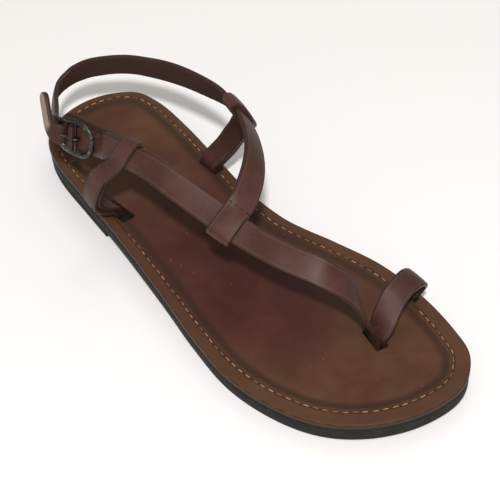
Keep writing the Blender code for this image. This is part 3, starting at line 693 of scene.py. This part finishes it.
def cut(piece, cutters):
    """Takes each cutter out of the piece and stores the result as the piece's own mesh."""
    for cutter in cutters:
        knife = piece.modifiers.new(cutter.name, "BOOLEAN")
        knife.operation = "DIFFERENCE"
        knife.solver = "EXACT"
        knife.object = cutter
    bpy.context.view_layer.update()
    done = piece.evaluated_get(bpy.context.evaluated_depsgraph_get())
    mesh = bpy.data.meshes.new_from_object(done)
    piece.modifiers.clear()
    piece.data = mesh
    for cutter in cutters:
        bpy.data.objects.remove(cutter, do_unlink=True)
    print(piece.name, "after the cut:", len(mesh.polygons), "faces")


# %% The heel lift, cut off in front
lift_loops = [(0.0030, low_lift, 0.0), (0.0012, low_lift, 0.0), (0.0008, low_lift, 0.0004),
              (0.0006, low_lift, 0.0010), (0.0006, high_lift, -0.0008),
              (0.0009, high_lift, -0.0002), (0.0014, high_lift, 0.0),
              (0.0030, high_lift, 0.0)]
lift = make_piece("rubber_heel_lift", *slab(lift_loops, LOOP_STEPS))
front = HEEL_LIFT_LENGTH - HEEL_REST_X
waste = ((front, -BALL_WIDTH), (SHOE_LENGTH, -BALL_WIDTH), (SHOE_LENGTH, BALL_WIDTH),
         (front, BALL_WIDTH))
step_cutter = prism("heel_step", waste, -HEEL_LIFT, HEEL_LIFT * 2)
corner_x = np.array([v.co for v in step_cutter.data.vertices])
slant = (corner_x[:, 0] < front + 0.001) & (corner_x[:, 2] > 0)
corner_x[slant, 0] -= HEEL_LIFT * 0.4
step_cutter.data.vertices.foreach_set("co", corner_x.ravel())
cut(lift, [step_cutter])

# %% [markdown]
# ## The footbed
# The footbed is the piece the eye rests on. Its seam runs closer to the edge at the heel than
# at the toe, and inside the seam the leather has sunk under the foot. All of that is one
# height function of the distance from the edge, so the loops only have to sample it.

# %% Height of the footbed's top
SEAM_SHARE = (0.0, 0.30, 0.60, 0.85, 1.0)
SEAM_INSET = (0.0042, 0.0046, 0.0060, 0.0072, 0.0076)
GROOVE_DEPTH = 0.00028
GROOVE_HALF = 0.00055
HEEL_HOLLOW = 0.0005
BALL_HOLLOW = 0.0004


def seam_inset(x):
    """How far the stitches lie inside the edge, read from five places along the shoe."""
    return np.interp((x + HEEL_REST_X) / SHOE_LENGTH, SEAM_SHARE, SEAM_INSET)


def footbed_relief(x, y, inset):
    """Rim height less the seam's groove, a bell curve over the distance to the seam, less the
    sink, a soft step from the rim inwards, less two shallow hollows under heel and ball."""
    groove = GROOVE_DEPTH * np.exp(-((inset - seam_inset(x)) / GROOVE_HALF) ** 2)
    sink = FOOTBED_SINK * soft_step(inset, RIM_WIDTH * 1.15, RIM_WIDTH * 2.0)
    heel = HEEL_HOLLOW * np.exp(-(x / 0.026) ** 2 - ((y - 0.002) / 0.017) ** 2)
    ball = BALL_HOLLOW * np.exp(-((x - 0.135) / 0.030) ** 2 - ((y + 0.006) / 0.024) ** 2)
    return footbed_top(x) - groove - sink - heel - ball


def top_loop(inset):
    """A loop of the footbed's top at one distance from the edge."""
    return inset, lambda x, y: footbed_relief(x, y, inset), 0.0


def low_footbed(x, y):
    return outsole_top(x) + SEAT


def high_footbed(x, y):
    return footbed_top(x)


footbed_loops = [(0.0030, low_footbed, 0.0), (0.0009, low_footbed, 0.0),
                 (0.0002, low_footbed, 0.0003), (0.0, low_footbed, 0.0008),
                 (0.0, high_footbed, -0.0010), (0.00012, high_footbed, -0.0005),
                 (0.0005, high_footbed, -0.00012), (0.0010, high_footbed, 0.0)]
footbed_loops += [top_loop(i) for i in np.arange(0.0016, 0.0135, 0.0003)]
leather_bed = make_piece("leather_footbed", *slab(footbed_loops, BED_STEPS, across=24))

# %% The slots
def slot_outline(place, direction, low, high):
    """A box with rounded corners, turned to its direction and moved to its place."""
    round_off = (high[1] - low[1]) * 0.22
    quarter = np.linspace(0.0, math.pi / 2, 6)
    outline = []
    for corner, (cx, cy) in enumerate(((high[0], high[1]), (low[0], high[1]),
                                       (low[0], low[1]), (high[0], low[1]))):
        angle = quarter + corner * math.pi / 2
        inner_x = cx - round_off * (1 if corner in (0, 3) else -1)
        inner_y = cy - round_off * (1 if corner in (0, 1) else -1)
        outline.append(np.column_stack([inner_x + round_off * np.cos(angle),
                                        inner_y + round_off * np.sin(angle)]))
    turn = math.atan2(direction[1], direction[0])
    spin = np.array([[math.cos(turn), math.sin(turn)], [-math.sin(turn), math.cos(turn)]])
    start = np.array([float(shoe_x(place[0])), place[1] * BALL_WIDTH])
    return np.vstack(outline) @ spin + start


TOE_SLOT_WAY = (-0.98, 0.20)
TOE_SLOT_ROOM = 0.0006
INNER_SLOT_ROOM = (0.0004, 0.0006)
OUTER_SLOT_CUT = 0.0010
half = STRAP_WIDTH / 2 + SLOT_EASE
tab_half = TAB_WIDTH / 2 + SLOT_EASE
thick = STRAP_THICK / 2 + SLOT_EASE
pair = STRAP_THICK - STRAP_GRIP / 2 + SLOT_EASE
layers = STRAP_THICK + FOLD_GAP / 2 + SLOT_EASE
ahead, inside = TAB_SLOT_ROOM
toe_half = pair + TOE_SLOT_ROOM
toe_place = ((INSTEP_STRAP[0][0] + TOE_RING[0][0]) / 2,
             (INSTEP_STRAP[0][1] + TOE_RING[0][1]) / 2)
slots = {
    "toe": (toe_place, TOE_SLOT_WAY, (-half, -toe_half), (half, toe_half)),
    "ring": (TOE_RING[-1][:2], TOE_RING[-1][3:5], (-half, -thick), (half, thick)),
    "inner": (INNER_TAB[0][:2], INNER_TAB[0][3:5],
              (-tab_half, -layers - INNER_SLOT_ROOM[0]), (tab_half + INNER_SLOT_ROOM[1], layers)),
    "outer": (OUTER_TAB[0][:2], OUTER_TAB[0][3:5],
              (-tab_half + OUTER_SLOT_CUT, -layers), (tab_half + ahead, layers + inside)),
}
cut(leather_bed, [prism(name + "_slot", slot_outline(*slot), 0.0, 0.03)
                  for name, slot in slots.items()])

# %% Distance from the edge and from the slots, for the footbed's material
bed = np.array([v.co for v in leather_bed.data.vertices])
slot_far = np.full(len(bed), 1.0)
for slot in slots.values():
    rim_points = slot_outline(*slot)
    gap = np.linalg.norm(bed[:, None, :2] - rim_points[None], axis=2).min(axis=1)
    slot_far = np.minimum(slot_far, gap)
bed_inset = edge_distance(bed)
is_top = bed[:, 2] > footbed_top(bed[:, 0]) - 0.0024
store_numbers(leather_bed.data, {
    "inset": bed_inset,
    "seam": bed_inset - seam_inset(bed[:, 0]),
    "slot_far": slot_far,
    "top": is_top.astype(float),
})
leather_bed.data.polygons.foreach_set("use_smooth",
                                      np.ones(len(leather_bed.data.polygons), bool))
leather_bed.data.set_sharp_from_angle(angle=math.radians(38))

# %% [markdown]
# ## The buckle
# The buckle is cast metal: an oval frame, a bar across its middle and a short prong that
# hangs on the bar. A torus could only give a circle. A round section is carried round the
# same squared oval as the solid, a little thicker than there and flattened on its face.

# %% Wires
def tube(name, points, radius, closed, squash=1.0, up=None):
    """Point = line + radius (cos b side + squash sin b top), where side and top are square to
    the line, and top follows the direction up."""
    points = np.asarray(points, float)
    if closed:
        ahead_way = np.roll(points, -1, axis=0) - np.roll(points, 1, axis=0)
    else:
        ahead_way = np.gradient(points, axis=0)
    tangent = unit(ahead_way)
    guide = np.broadcast_to(np.asarray(up, float), points.shape)
    top = unit(guide - (guide * tangent).sum(axis=1, keepdims=True) * tangent)
    side = np.cross(tangent, top)
    b = np.linspace(0.0, 2 * math.pi, 17)[:-1]
    radius = np.broadcast_to(radius, len(points))[:, None, None]
    grid = points[:, None] + radius * (np.cos(b)[:, None] * side[:, None]
                                       + squash * np.sin(b)[:, None] * top[:, None])
    rows, columns = grid.shape[:2]
    faces = grid_faces(rows, columns)
    if closed:
        last = (rows - 1) * columns
        j = np.arange(columns)
        k = (j + 1) % columns
        faces += np.stack([last + j, j, k, last + k], axis=-1).tolist()
    else:
        faces += [list(range(columns)), list(range((rows - 1) * columns, rows * columns))]
    return make_piece(name, grid.reshape(-1, 3), faces)


# %% Frame, bar and prong
RIM_FULL = 1.25
RIM_FLAT = 0.75
half_length = (BUCKLE_LENGTH - FRAME_WIRE) / 2
half_height = (BUCKLE_HEIGHT - FRAME_WIRE) / 2
turn_angle = np.linspace(0.0, 2 * math.pi, 97)[:-1, None]
power = 2 / BUCKLE_CURVE
oval = (middle
        + along * np.sign(np.cos(turn_angle)) * np.abs(np.cos(turn_angle)) ** power * half_length
        + high * np.sign(np.sin(turn_angle)) * np.abs(np.sin(turn_angle)) ** power * half_height)
buckle = tube("metal_buckle_frame", oval, FRAME_WIRE / 2 * RIM_FULL, True, RIM_FLAT, face)
bar_line = middle + high * np.linspace(-half_height, half_height, 12)[:, None]
bar = tube("metal_buckle_bar", bar_line, BAR_WIRE / 2, False, 1.0, face)

hook = BAR_WIRE / 2 + SEAT + PRONG_WIRE / 2
level = FRAME_WIRE / 2 + SEAT + PRONG_WIRE / 2
bends = np.radians(np.linspace(-50.0, -270.0, 10))[:, None]
prong_line = np.vstack([
    middle - along * hook * np.cos(bends) + face * hook * np.sin(bends),
    middle - along * half_length * 0.5 + face * (hook + level) / 2,
    middle - along * (half_length + FRAME_WIRE * 0.6) + face * level])
prong_keys = arc_keys(prong_line)
prong_at = np.linspace(0.0, prong_keys[-1], 60)
thin = 1 - 0.35 * soft_step(prong_at / prong_keys[-1], 0.75, 1.0)
prong = tube("metal_buckle_prong", smooth_curve(prong_keys, prong_line, prong_at),
             PRONG_WIRE / 2 * thin, False, 0.9, high)

# %% [markdown]
# ## Thread
# A stitch is a short piece of thread that dives into the leather at both ends. Hundreds of
# them are needed, so each one is a bent capsule of a few dozen faces, and all the stitches of
# a seam are worked out in one array and put into one mesh.

# %% Many stitches at once
def sew(name, centres, ways, ups, length, radius, dive=0.00035, rise=0.6):
    """Stitch n, ring u in -1..1 and angle b give the point: centre + way u length / 2
    + up (radius rise - dive u^2) + r(u) (cos b side + sin b up), where r(u) shrinks
    at the two ends. The number tone is a different shade for each stitch."""
    centres, ways, ups = (np.asarray(a, float) for a in (centres, ways, ups))
    u = np.linspace(-1.0, 1.0, 7)
    b = np.linspace(0.0, 2 * math.pi, 7)[:-1]
    sides = np.cross(ways, ups)
    line = (centres[:, None] + ways[:, None] * (u * length / 2)[None, :, None]
            + ups[:, None] * (radius * rise - dive * u ** 2)[None, :, None])
    thin = radius * (1 - 0.55 * u ** 4)
    ring_way = (np.cos(b)[None, :, None] * sides[:, None, :]
                + np.sin(b)[None, :, None] * ups[:, None, :])
    grid = line[:, :, None, :] + thin[None, :, None, None] * ring_way[:, None, :, :]
    count = len(centres)
    block = len(u) * len(b)
    one = np.array(grid_faces(len(u), len(b)))
    faces = (one[None] + (np.arange(count) * block)[:, None, None]).reshape(-1, 4).tolist()
    caps = np.stack([np.arange(len(b)), np.arange(len(b)) + block - len(b)])
    faces += (caps[None] + (np.arange(count) * block)[:, None, None]).reshape(
        -1, len(b)).tolist()
    rng = np.random.default_rng(7)
    tone = np.repeat(rng.random(count), block)
    return make_piece(name, grid.reshape(-1, 3), faces, {"tone": tone})


# %% The seam round the footbed
STITCH_PITCH = 0.0044
STITCH_LENGTH = 0.0031
THREAD = 0.00027


def inside_slot(points, margin):
    """True for points within a margin of any slot's box."""
    hit = np.zeros(len(points), bool)
    for place, direction, low, high_corner in slots.values():
        turn = math.atan2(direction[1], direction[0])
        start = np.array([float(shoe_x(place[0])), place[1] * BALL_WIDTH])
        flat = points[:, :2] - start
        a = flat[:, 0] * math.cos(turn) + flat[:, 1] * math.sin(turn)
        c = -flat[:, 0] * math.sin(turn) + flat[:, 1] * math.cos(turn)
        hit |= ((a > low[0] - margin) & (a < high_corner[0] + margin)
                & (c > low[1] - margin) & (c < high_corner[1] + margin))
    return hit


outline_x = sole_loop(0.0, 400)[:, 0]
seam_xy = sole_loop(seam_inset(outline_x), 400)
seam_xy = np.vstack([seam_xy, seam_xy[:1]])
seam_keys = arc_keys(seam_xy)
stitch_count = int(seam_keys[-1] / STITCH_PITCH)
spots = (np.arange(stitch_count) + 0.5) * seam_keys[-1] / stitch_count
wobble = np.random.default_rng(3).normal(0.0, 1.0, (stitch_count, 2))
spots = spots + wobble[:, 0] * 0.00012


def seam_at(distance):
    """The seam's x and y at a distance along it."""
    return np.column_stack([np.interp(distance, seam_keys, seam_xy[:, k]) for k in (0, 1)])


seam_middle = seam_at(spots)
seam_way = unit(seam_at(spots + 0.0008) - seam_at(spots - 0.0008))
seam_middle = seam_middle + np.column_stack([-seam_way[:, 1], seam_way[:, 0]]) * (
    wobble[:, 1:] * 0.00012)
free = ~inside_slot(seam_middle, 0.0030)
seam_middle, seam_way = seam_middle[free], seam_way[free]
seam_z = footbed_relief(seam_middle[:, 0], seam_middle[:, 1], seam_inset(seam_middle[:, 0]))
seam_ups = np.tile((0.0, 0.0, 1.0), (len(seam_z), 1))
footbed_seam = sew("footbed_seam", np.column_stack([seam_middle, seam_z]),
                   np.column_stack([seam_way, np.zeros(len(seam_way))]), seam_ups,
                   STITCH_LENGTH, THREAD)
print("stitches round the footbed:", len(seam_z))

# %% Seams on the tabs and on the sleeve
TAB_STITCH = dict(length=0.0016, radius=0.00026, dive=0.0002, rise=-0.35)
TAB_PITCH = 0.0026
TAB_SEAM_SIDE = 0.0034
TAB_SEAM_FOOT = 0.0090
SLEEVE_STITCH = dict(length=0.0021, radius=0.00028, dive=0.0003)


def strap_spots(points, wide, outer, distances, offset):
    """Points on a strap's grain side at distances along it and an offset across it."""
    keys = arc_keys(points)
    fine = np.linspace(0.0, keys[-1], 400)
    middles = smooth_curve(keys, points, fine)
    tangent, across, normal = path_frame(middles, unit(smooth_curve(keys, wide, fine)))

    def pick(values):
        return np.column_stack([np.interp(distances, fine, values[:, k]) for k in range(3)])

    up = unit(pick(normal)) * outer
    crown = CROWN * (1 - (2 * offset / STRAP_WIDTH) ** 2)
    spot = pick(middles) + pick(across) * offset + up * (STRAP_THICK / 2 + crown)
    return spot, unit(pick(tangent)), unit(pick(across)), up


def tab_seams(name, route, outer):
    """Two rows of short dark stitches up the outer layer of a tab, and down its inner one."""
    total = arc_keys(route[0])[-1]
    rows = []
    for low, top in ((TAB_SEAM_FOOT, total * 0.40), (total * 0.60, total - TAB_SEAM_FOOT)):
        distances = np.arange(low, top, TAB_PITCH)
        for offset in (-TAB_SEAM_SIDE, TAB_SEAM_SIDE):
            rows.append(strap_spots(*route, outer, distances, offset))
    spot, way, _, up = (np.vstack([row[k] for row in rows]) for k in range(4))
    return sew(name, spot, way, up, **TAB_STITCH)


inner_seams = tab_seams("inner_tab_seams", inner_tab, 1.0)
outer_seams = tab_seams("outer_tab_seams", outer_tab, -1.0)
sleeve_start = arc_keys(ankle[0])[len(wrap_points(middle, high, face, STRAP_WIDTH)) - 1]
rows = [strap_spots(*ankle[:2], -1.0, np.array([sleeve_start + 0.0030]), offset)
        for offset in np.linspace(-0.0045, 0.0045, 4)]
spot, _, sideways, up = (np.vstack([row[k] for row in rows]) for k in range(4))
sleeve_seam = sew("sleeve_seam", spot, sideways, up, **SLEEVE_STITCH)

# %% [markdown]
# ## Shader maths
# A material is a graph of small nodes, and a graph written node by node is hard to read. The
# class below wraps a socket, so that + - * and / between two wrapped values add the Math node
# for it. Every other kind of node comes from one method.

# %% Sockets as values
class Value:
    """A socket of a material's graph, or a number, with operators that add Math nodes."""

    def __init__(self, graph, socket):
        self.graph = graph
        self.socket = socket

    def join(self, operation, first, second=0.5, third=0.5):
        return self.graph.add("ShaderNodeMath", {"operation": operation},
                              [first, second, third])

    def __add__(self, other):
        return self.join("ADD", self, other)

    __radd__ = __add__

    def __mul__(self, other):
        return self.join("MULTIPLY", self, other)

    __rmul__ = __mul__

    def __sub__(self, other):
        return self.join("SUBTRACT", self, other)

    def __rsub__(self, other):
        return self.join("SUBTRACT", other, self)

    def __truediv__(self, other):
        return self.join("DIVIDE", self, other)

    def __abs__(self):
        return self.join("ABSOLUTE", self)

    def band(self, low, high_end):
        """0 below low, 1 above high_end and a soft step between."""
        return self.graph.add("ShaderNodeMapRange", {"interpolation_type": "SMOOTHSTEP"},
                              [self, low, high_end, 0.0, 1.0])


# %% A material's graph
class Graph:
    """A material with a Principled shader, and the method that adds its nodes."""

    def __init__(self, name, **fixed):
        self.material = bpy.data.materials.new(name)
        self.material.use_nodes = True
        self.tree = self.material.node_tree
        self.shader = self.tree.nodes["Principled BSDF"]
        for key, value in fixed.items():
            self.shader.inputs[key.replace("_", " ")].default_value = value

    def put(self, socket, value):
        """Links a value to a socket, or sets the socket's own number or colour."""
        if isinstance(value, Value):
            self.tree.links.new(value.socket, socket)
        elif isinstance(value, tuple) and len(value) == 3 and socket.type == "RGBA":
            socket.default_value = (*value, 1.0)
        else:
            socket.default_value = value

    def add(self, kind, settings=None, inputs=(), output=0):
        """One node: its settings first, then its inputs, by place or by name."""
        node = self.tree.nodes.new(kind)
        for key, value in (settings or {}).items():
            if key == "stops":
                ramp = node.color_ramp.elements
                while len(ramp) < len(value):
                    ramp.new(0.5)
                for stop, (place, colour) in zip(ramp, value):
                    stop.position = place
                    stop.color = (*colour, 1.0)
            else:
                setattr(node, key, value)
        pairs = inputs.items() if isinstance(inputs, dict) else enumerate(inputs)
        for key, value in pairs:
            if not (kind == "ShaderNodeMath" and key >= len(node.inputs)):
                self.put(node.inputs[key], value)
        return Value(self, node.outputs[output])

    def number(self, name):
        """A number that the mesh stores at its points."""
        return self.add("ShaderNodeAttribute", {"attribute_name": name}, output="Fac")

    def place(self):
        return self.add("ShaderNodeTexCoord", output="Object")

    def noise(self, scale, detail=3.0, rough=0.55, vector=None):
        return self.add("ShaderNodeTexNoise", {}, {
            "Vector": vector or self.place(), "Scale": scale, "Detail": detail,
            "Roughness": rough})

    def cells(self, scale, vector=None):
        """Distance to the nearest of many scattered points, as in a leather's pores."""
        return self.add("ShaderNodeTexVoronoi", {}, {
            "Vector": vector or self.place(), "Scale": scale})

    def mix(self, mask, first, second):
        """A colour between two colours."""
        node = self.tree.nodes.new("ShaderNodeMix")
        node.data_type = "RGBA"
        self.put(node.inputs["Factor"], mask)
        self.put(node.inputs[6], first)
        self.put(node.inputs[7], second)
        return Value(self, node.outputs[2])

    def axis(self, letter):
        """One of the object's own coordinates."""
        return self.add("ShaderNodeSeparateXYZ", {}, [self.place()], output=letter)

    def finish(self, colour, roughness, height=None, strength=0.3, reach=0.0002):
        """Links the colour, the roughness and a bump to the shader."""
        self.put(self.shader.inputs["Base Color"], colour)
        self.put(self.shader.inputs["Roughness"], roughness)
        if height is not None:
            bump = self.add("ShaderNodeBump", {}, {
                "Strength": strength, "Distance": reach, "Height": height}, output="Normal")
            self.put(self.shader.inputs["Normal"], bump)
        return self.material


# %% [markdown]
# ## Strap leather
# The straps are dyed brown leather with a soft wax shine. Their grain shows as tiny pores,
# the colour is cloudy, a pressed line with a painted highlight runs beside each edge, and the cut
# edges are darker.
# The flesh side is matt, and undyed and tan only on the loose tail. The four numbers that the
# strap's mesh stores say where each of these belongs.

# %% Strap leather
def make_strap_leather():
    g = Graph("strap_leather", Specular_IOR_Level=0.26)
    across = abs(g.number("across"))
    grain = g.number("grain").band(0.4, 0.6)
    cloud = g.noise(55.0, 4.0, 0.6)
    fine = g.noise(420.0, 3.0, 0.6)
    pores = g.cells(1500.0)
    colour = g.mix(cloud.band(0.36, 0.66), (0.047, 0.0165, 0.0110), (0.068, 0.0255, 0.0180))
    colour = g.mix(fine.band(0.45, 0.75) * 0.35, colour, (0.080, 0.0350, 0.0250))
    # Painted highlight: the pressed line beside each edge is painted lighter, as light on the
    # rounded edge; its groove in the bump is real.
    crease_and_highlight = across.band(0.78, 0.83) * (1 - across.band(0.86, 0.91))
    colour = g.mix(crease_and_highlight * grain * 0.22, colour, (0.150, 0.085, 0.070))
    edge = across.band(0.93, 1.02)
    colour = g.mix(edge * 0.75, colour, (0.030, 0.0135, 0.0095))
    flesh = (1 - grain) * (1 - edge)
    colour = g.mix(flesh * 0.9, colour, (0.044, 0.0200, 0.0135))
    tail = g.number("tan")
    tan = g.mix(fine.band(0.3, 0.7), (0.300, 0.205, 0.150), (0.390, 0.285, 0.220))
    colour = g.mix(flesh * tail, colour, tan)
    polish = g.number("bend")
    roughness = 0.46 + fine * 0.14 + flesh * 0.30 - polish * 0.11
    height = pores * 0.5 + fine * 0.7 - crease_and_highlight * 1.6 + g.noise(1800.0, 2.0) * flesh * 2.0
    return g.finish(colour, roughness, height, 0.22, 0.00018)


strap_leather = make_strap_leather()
print("strap leather nodes:", len(strap_leather.node_tree.nodes))

# %% [markdown]
# ## Footbed leather
# The footbed is the same hide, waxed and pressed by the foot. It is purple brown under the
# ball, and more olive at the toe, the heel and outside the seam. The edge is burnished, the
# groove is painted dark as shade, and the slope inside the seam is painted darker as shade.
# Two amber patches near the heel are a painted tint of shadow.

# %% Footbed leather
def bell(g, centre_x, centre_y, wide_x, wide_y):
    """exp(-(dx/wide)^2 - (dy/wide)^2) on the object's own coordinates."""
    dx = (g.axis("X") - centre_x) / wide_x
    dy = (g.axis("Y") - centre_y) / wide_y
    return g.add("ShaderNodeMath", {"operation": "EXPONENT"}, [(dx * dx + dy * dy) * -1.0])


def make_footbed_leather():
    g = Graph("footbed_leather", Specular_IOR_Level=0.15)
    inset = g.number("inset")
    seam = g.number("seam")
    top = g.number("top").band(0.4, 0.6)
    cloud = g.noise(24.0, 4.0, 0.6)
    patch = g.noise(48.0, 3.0, 0.55)
    fine = g.noise(520.0, 3.0, 0.6)
    pores = g.cells(1300.0)
    olive = g.mix(patch.band(0.35, 0.68), (0.068, 0.0275, 0.0145), (0.094, 0.0425, 0.0220))
    purple = g.mix(patch.band(0.35, 0.68), (0.052, 0.0150, 0.0108), (0.068, 0.0225, 0.0160))
    ball = bell(g, 0.105, -0.008, 0.075, 0.040) * 1.5 + (cloud - 0.5) * 0.9
    colour = g.mix(ball.band(0.35, 1.15), olive, purple)
    # Painted shadow: two amber patches near the heel are the warm tint of shade beside the straps.
    shadow_amber = bell(g, -0.0044, 0.0030, 0.0050, 0.0030) + 0.5 * bell(g, 0.004, -0.024, 0.012, 0.006)
    shadow_amber = shadow_amber.band(0.25, 0.75) * fine.band(0.25, 0.55)
    colour = g.mix(shadow_amber * 0.7, colour, (0.130, 0.062, 0.013))
    rim = 1 - seam.band(-0.0012, 0.0002)
    colour = g.mix(rim * 0.55, colour, (0.078, 0.0370, 0.0185))
    # Painted shade: the slope inside the seam, where the footbed sinks, is darkened as if shaded.
    slope_shade = seam.band(0.0006, 0.0026) * (1 - seam.band(0.0034, 0.0072))
    colour = g.mix(slope_shade * 0.72, colour, (0.030, 0.0150, 0.0080))
    # Painted shade: the stitch groove is darkened as if shaded; its higher roughness is real.
    groove = 1 - abs(seam).band(0.0003, 0.0013)
    colour = g.mix(groove * 0.6, colour, (0.034, 0.0170, 0.0095))
    edge = 1 - inset.band(0.0002, 0.0008)
    colour = g.mix(edge * 0.80, colour, (0.036, 0.021, 0.0135))
    slot_edge = 1 - g.number("slot_far").band(0.0002, 0.0011)
    colour = g.mix(slot_edge * 0.7, colour, (0.030, 0.0150, 0.0100))
    speck = g.cells(150.0)
    colour = g.mix((1 - speck.band(0.035, 0.075)) * 0.5, colour, (0.190, 0.115, 0.075))
    colour = g.mix(1 - top, colour, (0.040, 0.0235, 0.0150))
    roughness = 0.47 + fine * 0.16 - edge * 0.10 + groove * 0.2
    creases = g.noise(95.0, 5.0, 0.65)
    height = pores * 0.45 + fine * 0.6 + creases * 1.2
    return g.finish(colour, roughness, height, 0.20, 0.00022)


footbed_leather = make_footbed_leather()
print("footbed leather nodes:", len(footbed_leather.node_tree.nodes))

# %% [markdown]
# ## Rubber, thread and metal
# The rubber is moulded and dull, with a fine skin and some dust. Its top shows only at the
# bottom of the slots, where it is painted as dark as the leather there. The thread is waxed
# pale gold, and the dark thread on the straps is nearly black. The metal is plated dark and
# rubbed bright on its high spots.

# %% Rubber
def make_rubber():
    g = Graph("black_rubber", Specular_IOR_Level=0.20)
    skin = g.noise(260.0, 4.0, 0.6)
    grit = g.cells(900.0)
    colour = g.mix(skin.band(0.35, 0.7), (0.0120, 0.0115, 0.0085), (0.0230, 0.0215, 0.0160))
    dust = g.noise(70.0, 4.0, 0.65).band(0.50, 0.75)
    colour = g.mix(dust * 0.30, colour, (0.050, 0.045, 0.034))
    colour = g.mix(g.number("covered"), colour, (0.010, 0.0055, 0.0035))
    roughness = 0.62 + skin * 0.2
    return g.finish(colour, roughness, skin * 1.0 + grit * 0.4, 0.35, 0.0003)


# %% Thread
def make_thread(name, pale, dark):
    g = Graph(name)
    tone = g.number("tone")
    ply = g.add("ShaderNodeTexWave", {"wave_type": "BANDS", "bands_direction": "DIAGONAL"},
                {"Vector": g.place(), "Scale": 900.0, "Distortion": 1.0})
    colour = g.mix(tone.band(0.1, 0.9), dark, pale)
    colour = g.mix(ply * 0.35, colour, dark)
    return g.finish(colour, 0.62 + tone * 0.1, ply, 0.4, 0.00008)


# %% Dark plated metal
def make_dark_metal():
    g = Graph("dark_metal", Metallic=1.0)
    rub = g.noise(420.0, 4.0, 0.6)
    colour = g.mix(rub.band(0.48, 0.70), (0.060, 0.055, 0.050), (0.250, 0.228, 0.200))
    return g.finish(colour, 0.34 + rub * 0.18, rub, 0.25, 0.0001)


rubber = make_rubber()
gold_thread = make_thread("gold_thread", (0.430, 0.270, 0.120), (0.170, 0.092, 0.036))
dark_thread = make_thread("dark_thread", (0.030, 0.016, 0.011), (0.010, 0.006, 0.005))
dark_metal = make_dark_metal()

# %% [markdown]
# ## Putting the pieces in place
# Each piece gets its material and the body it moves with. The smooth pieces stand for their
# plain solids, which stay in the model but are hidden.

# %% Materials, bodies and replaced solids
def dress(piece, material):
    piece.data.materials.clear()
    piece.data.materials.append(material)
    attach(piece, "root")


for piece in straps.values():
    dress(piece, strap_leather)
for piece in (inner_seams, outer_seams, sleeve_seam):
    dress(piece, dark_thread)
dress(footbed_seam, gold_thread)
dress(leather_bed, footbed_leather)
dress(outsole, rubber)
dress(lift, rubber)
for piece in (buckle, bar, prong):
    dress(piece, dark_metal)
for piece in straps.values():
    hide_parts("upper")
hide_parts("footbed")
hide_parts("outsole")
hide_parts("heel_lift")
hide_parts("buckle_frame")
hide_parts("buckle_frame")
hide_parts("buckle_prong")

# %% [markdown]
# ## Floor, light and camera
# The floor is pale and matt. The photograph was lit from above the camera, so a small lamp
# stands there, a little higher than the lens, and the room adds a soft warm fill. The camera
# stands where the photograph's did, turned to the shoe, with a longer lens.

# %% Floor
def make_floor():
    size = 3.0
    corners = [(-size, -size, 0.0), (size, -size, 0.0), (size, size, 0.0), (-size, size, 0.0)]
    floor = make_piece("floor", corners, [[0, 1, 2, 3]])
    g = Graph("pale_floor")
    floor.data.materials.append(g.finish((0.86, 0.86, 0.85), 0.85))
    return floor


floor = make_floor()

# %% Camera
EYE = Vector((0.52287, -0.31463, 0.59009))
RIGHT = Vector((0.66763, 0.74429, -0.01752))
AHEAD = Vector((-0.52478, 0.45377, -0.72021))
UP = Vector((-0.52809, 0.49003, 0.69354))
SENSOR = 36
FOCAL_PIXELS = 1260
PHOTO_SIDE = 500
PHOTO_MIDDLE = PHOTO_SIDE / 2
SHOE_IN_PHOTO = (197.5, 284.5)
ZOOM = 1.32
AIM = [(place - PHOTO_MIDDLE) / FOCAL_PIXELS for place in SHOE_IN_PHOTO]
look = (AHEAD + RIGHT * AIM[0] - UP * AIM[1]).normalized()
side = look.cross(UP).normalized()
top = side.cross(look)
camera = bpy.data.objects.new("camera", bpy.data.cameras.new("camera"))
bpy.context.scene.collection.objects.link(camera)
turn = Matrix((side, top, -look)).transposed().to_4x4()
camera.matrix_world = Matrix.Translation(EYE) @ turn
camera.data.sensor_width = SENSOR
camera.data.lens = SENSOR * FOCAL_PIXELS / PHOTO_SIDE * ZOOM
camera.data.clip_start = 0.01
bpy.context.scene.camera = camera

# %% Light
def area_light(name, place, target, size, power_watts, colour):
    data = bpy.data.lights.new(name, "AREA")
    data.shape = "DISK"
    data.size = size
    data.energy = power_watts
    data.color = colour
    lamp = bpy.data.objects.new(name, data)
    bpy.context.scene.collection.objects.link(lamp)
    lamp.location = place
    lamp.rotation_euler = (Vector(target) - Vector(place)).to_track_quat("-Z", "Y").to_euler()
    return lamp


SHOE_MIDDLE = Vector((0.095, 0.0, 0.02))
KEY_WAY = Vector((0.46, -0.34, 0.83)).normalized()
KEY_FAR = 1.3
KEY_SIZE = 0.08
KEY_WATTS = 14.5
RIM_PLACE = Vector((-0.5, 0.6, 0.9))
RIM_SIZE = 0.8
RIM_WATTS = 1.6
ROOM_COLOUR = (1.0, 0.970, 0.900, 1.0)
ROOM_STRENGTH = 0.44
area_light("key", SHOE_MIDDLE + KEY_WAY * KEY_FAR, SHOE_MIDDLE, KEY_SIZE, KEY_WATTS,
           (1.0, 0.965, 0.985))
area_light("rim", SHOE_MIDDLE + RIM_PLACE, SHOE_MIDDLE, RIM_SIZE, RIM_WATTS,
           (1.0, 0.98, 0.98))
world = bpy.data.worlds.new("soft_room")
bpy.context.scene.world = world
world.use_nodes = True
room = world.node_tree.nodes["Background"].inputs
room["Color"].default_value = ROOM_COLOUR
room["Strength"].default_value = ROOM_STRENGTH
bpy.context.scene.view_settings.view_transform = "Standard"
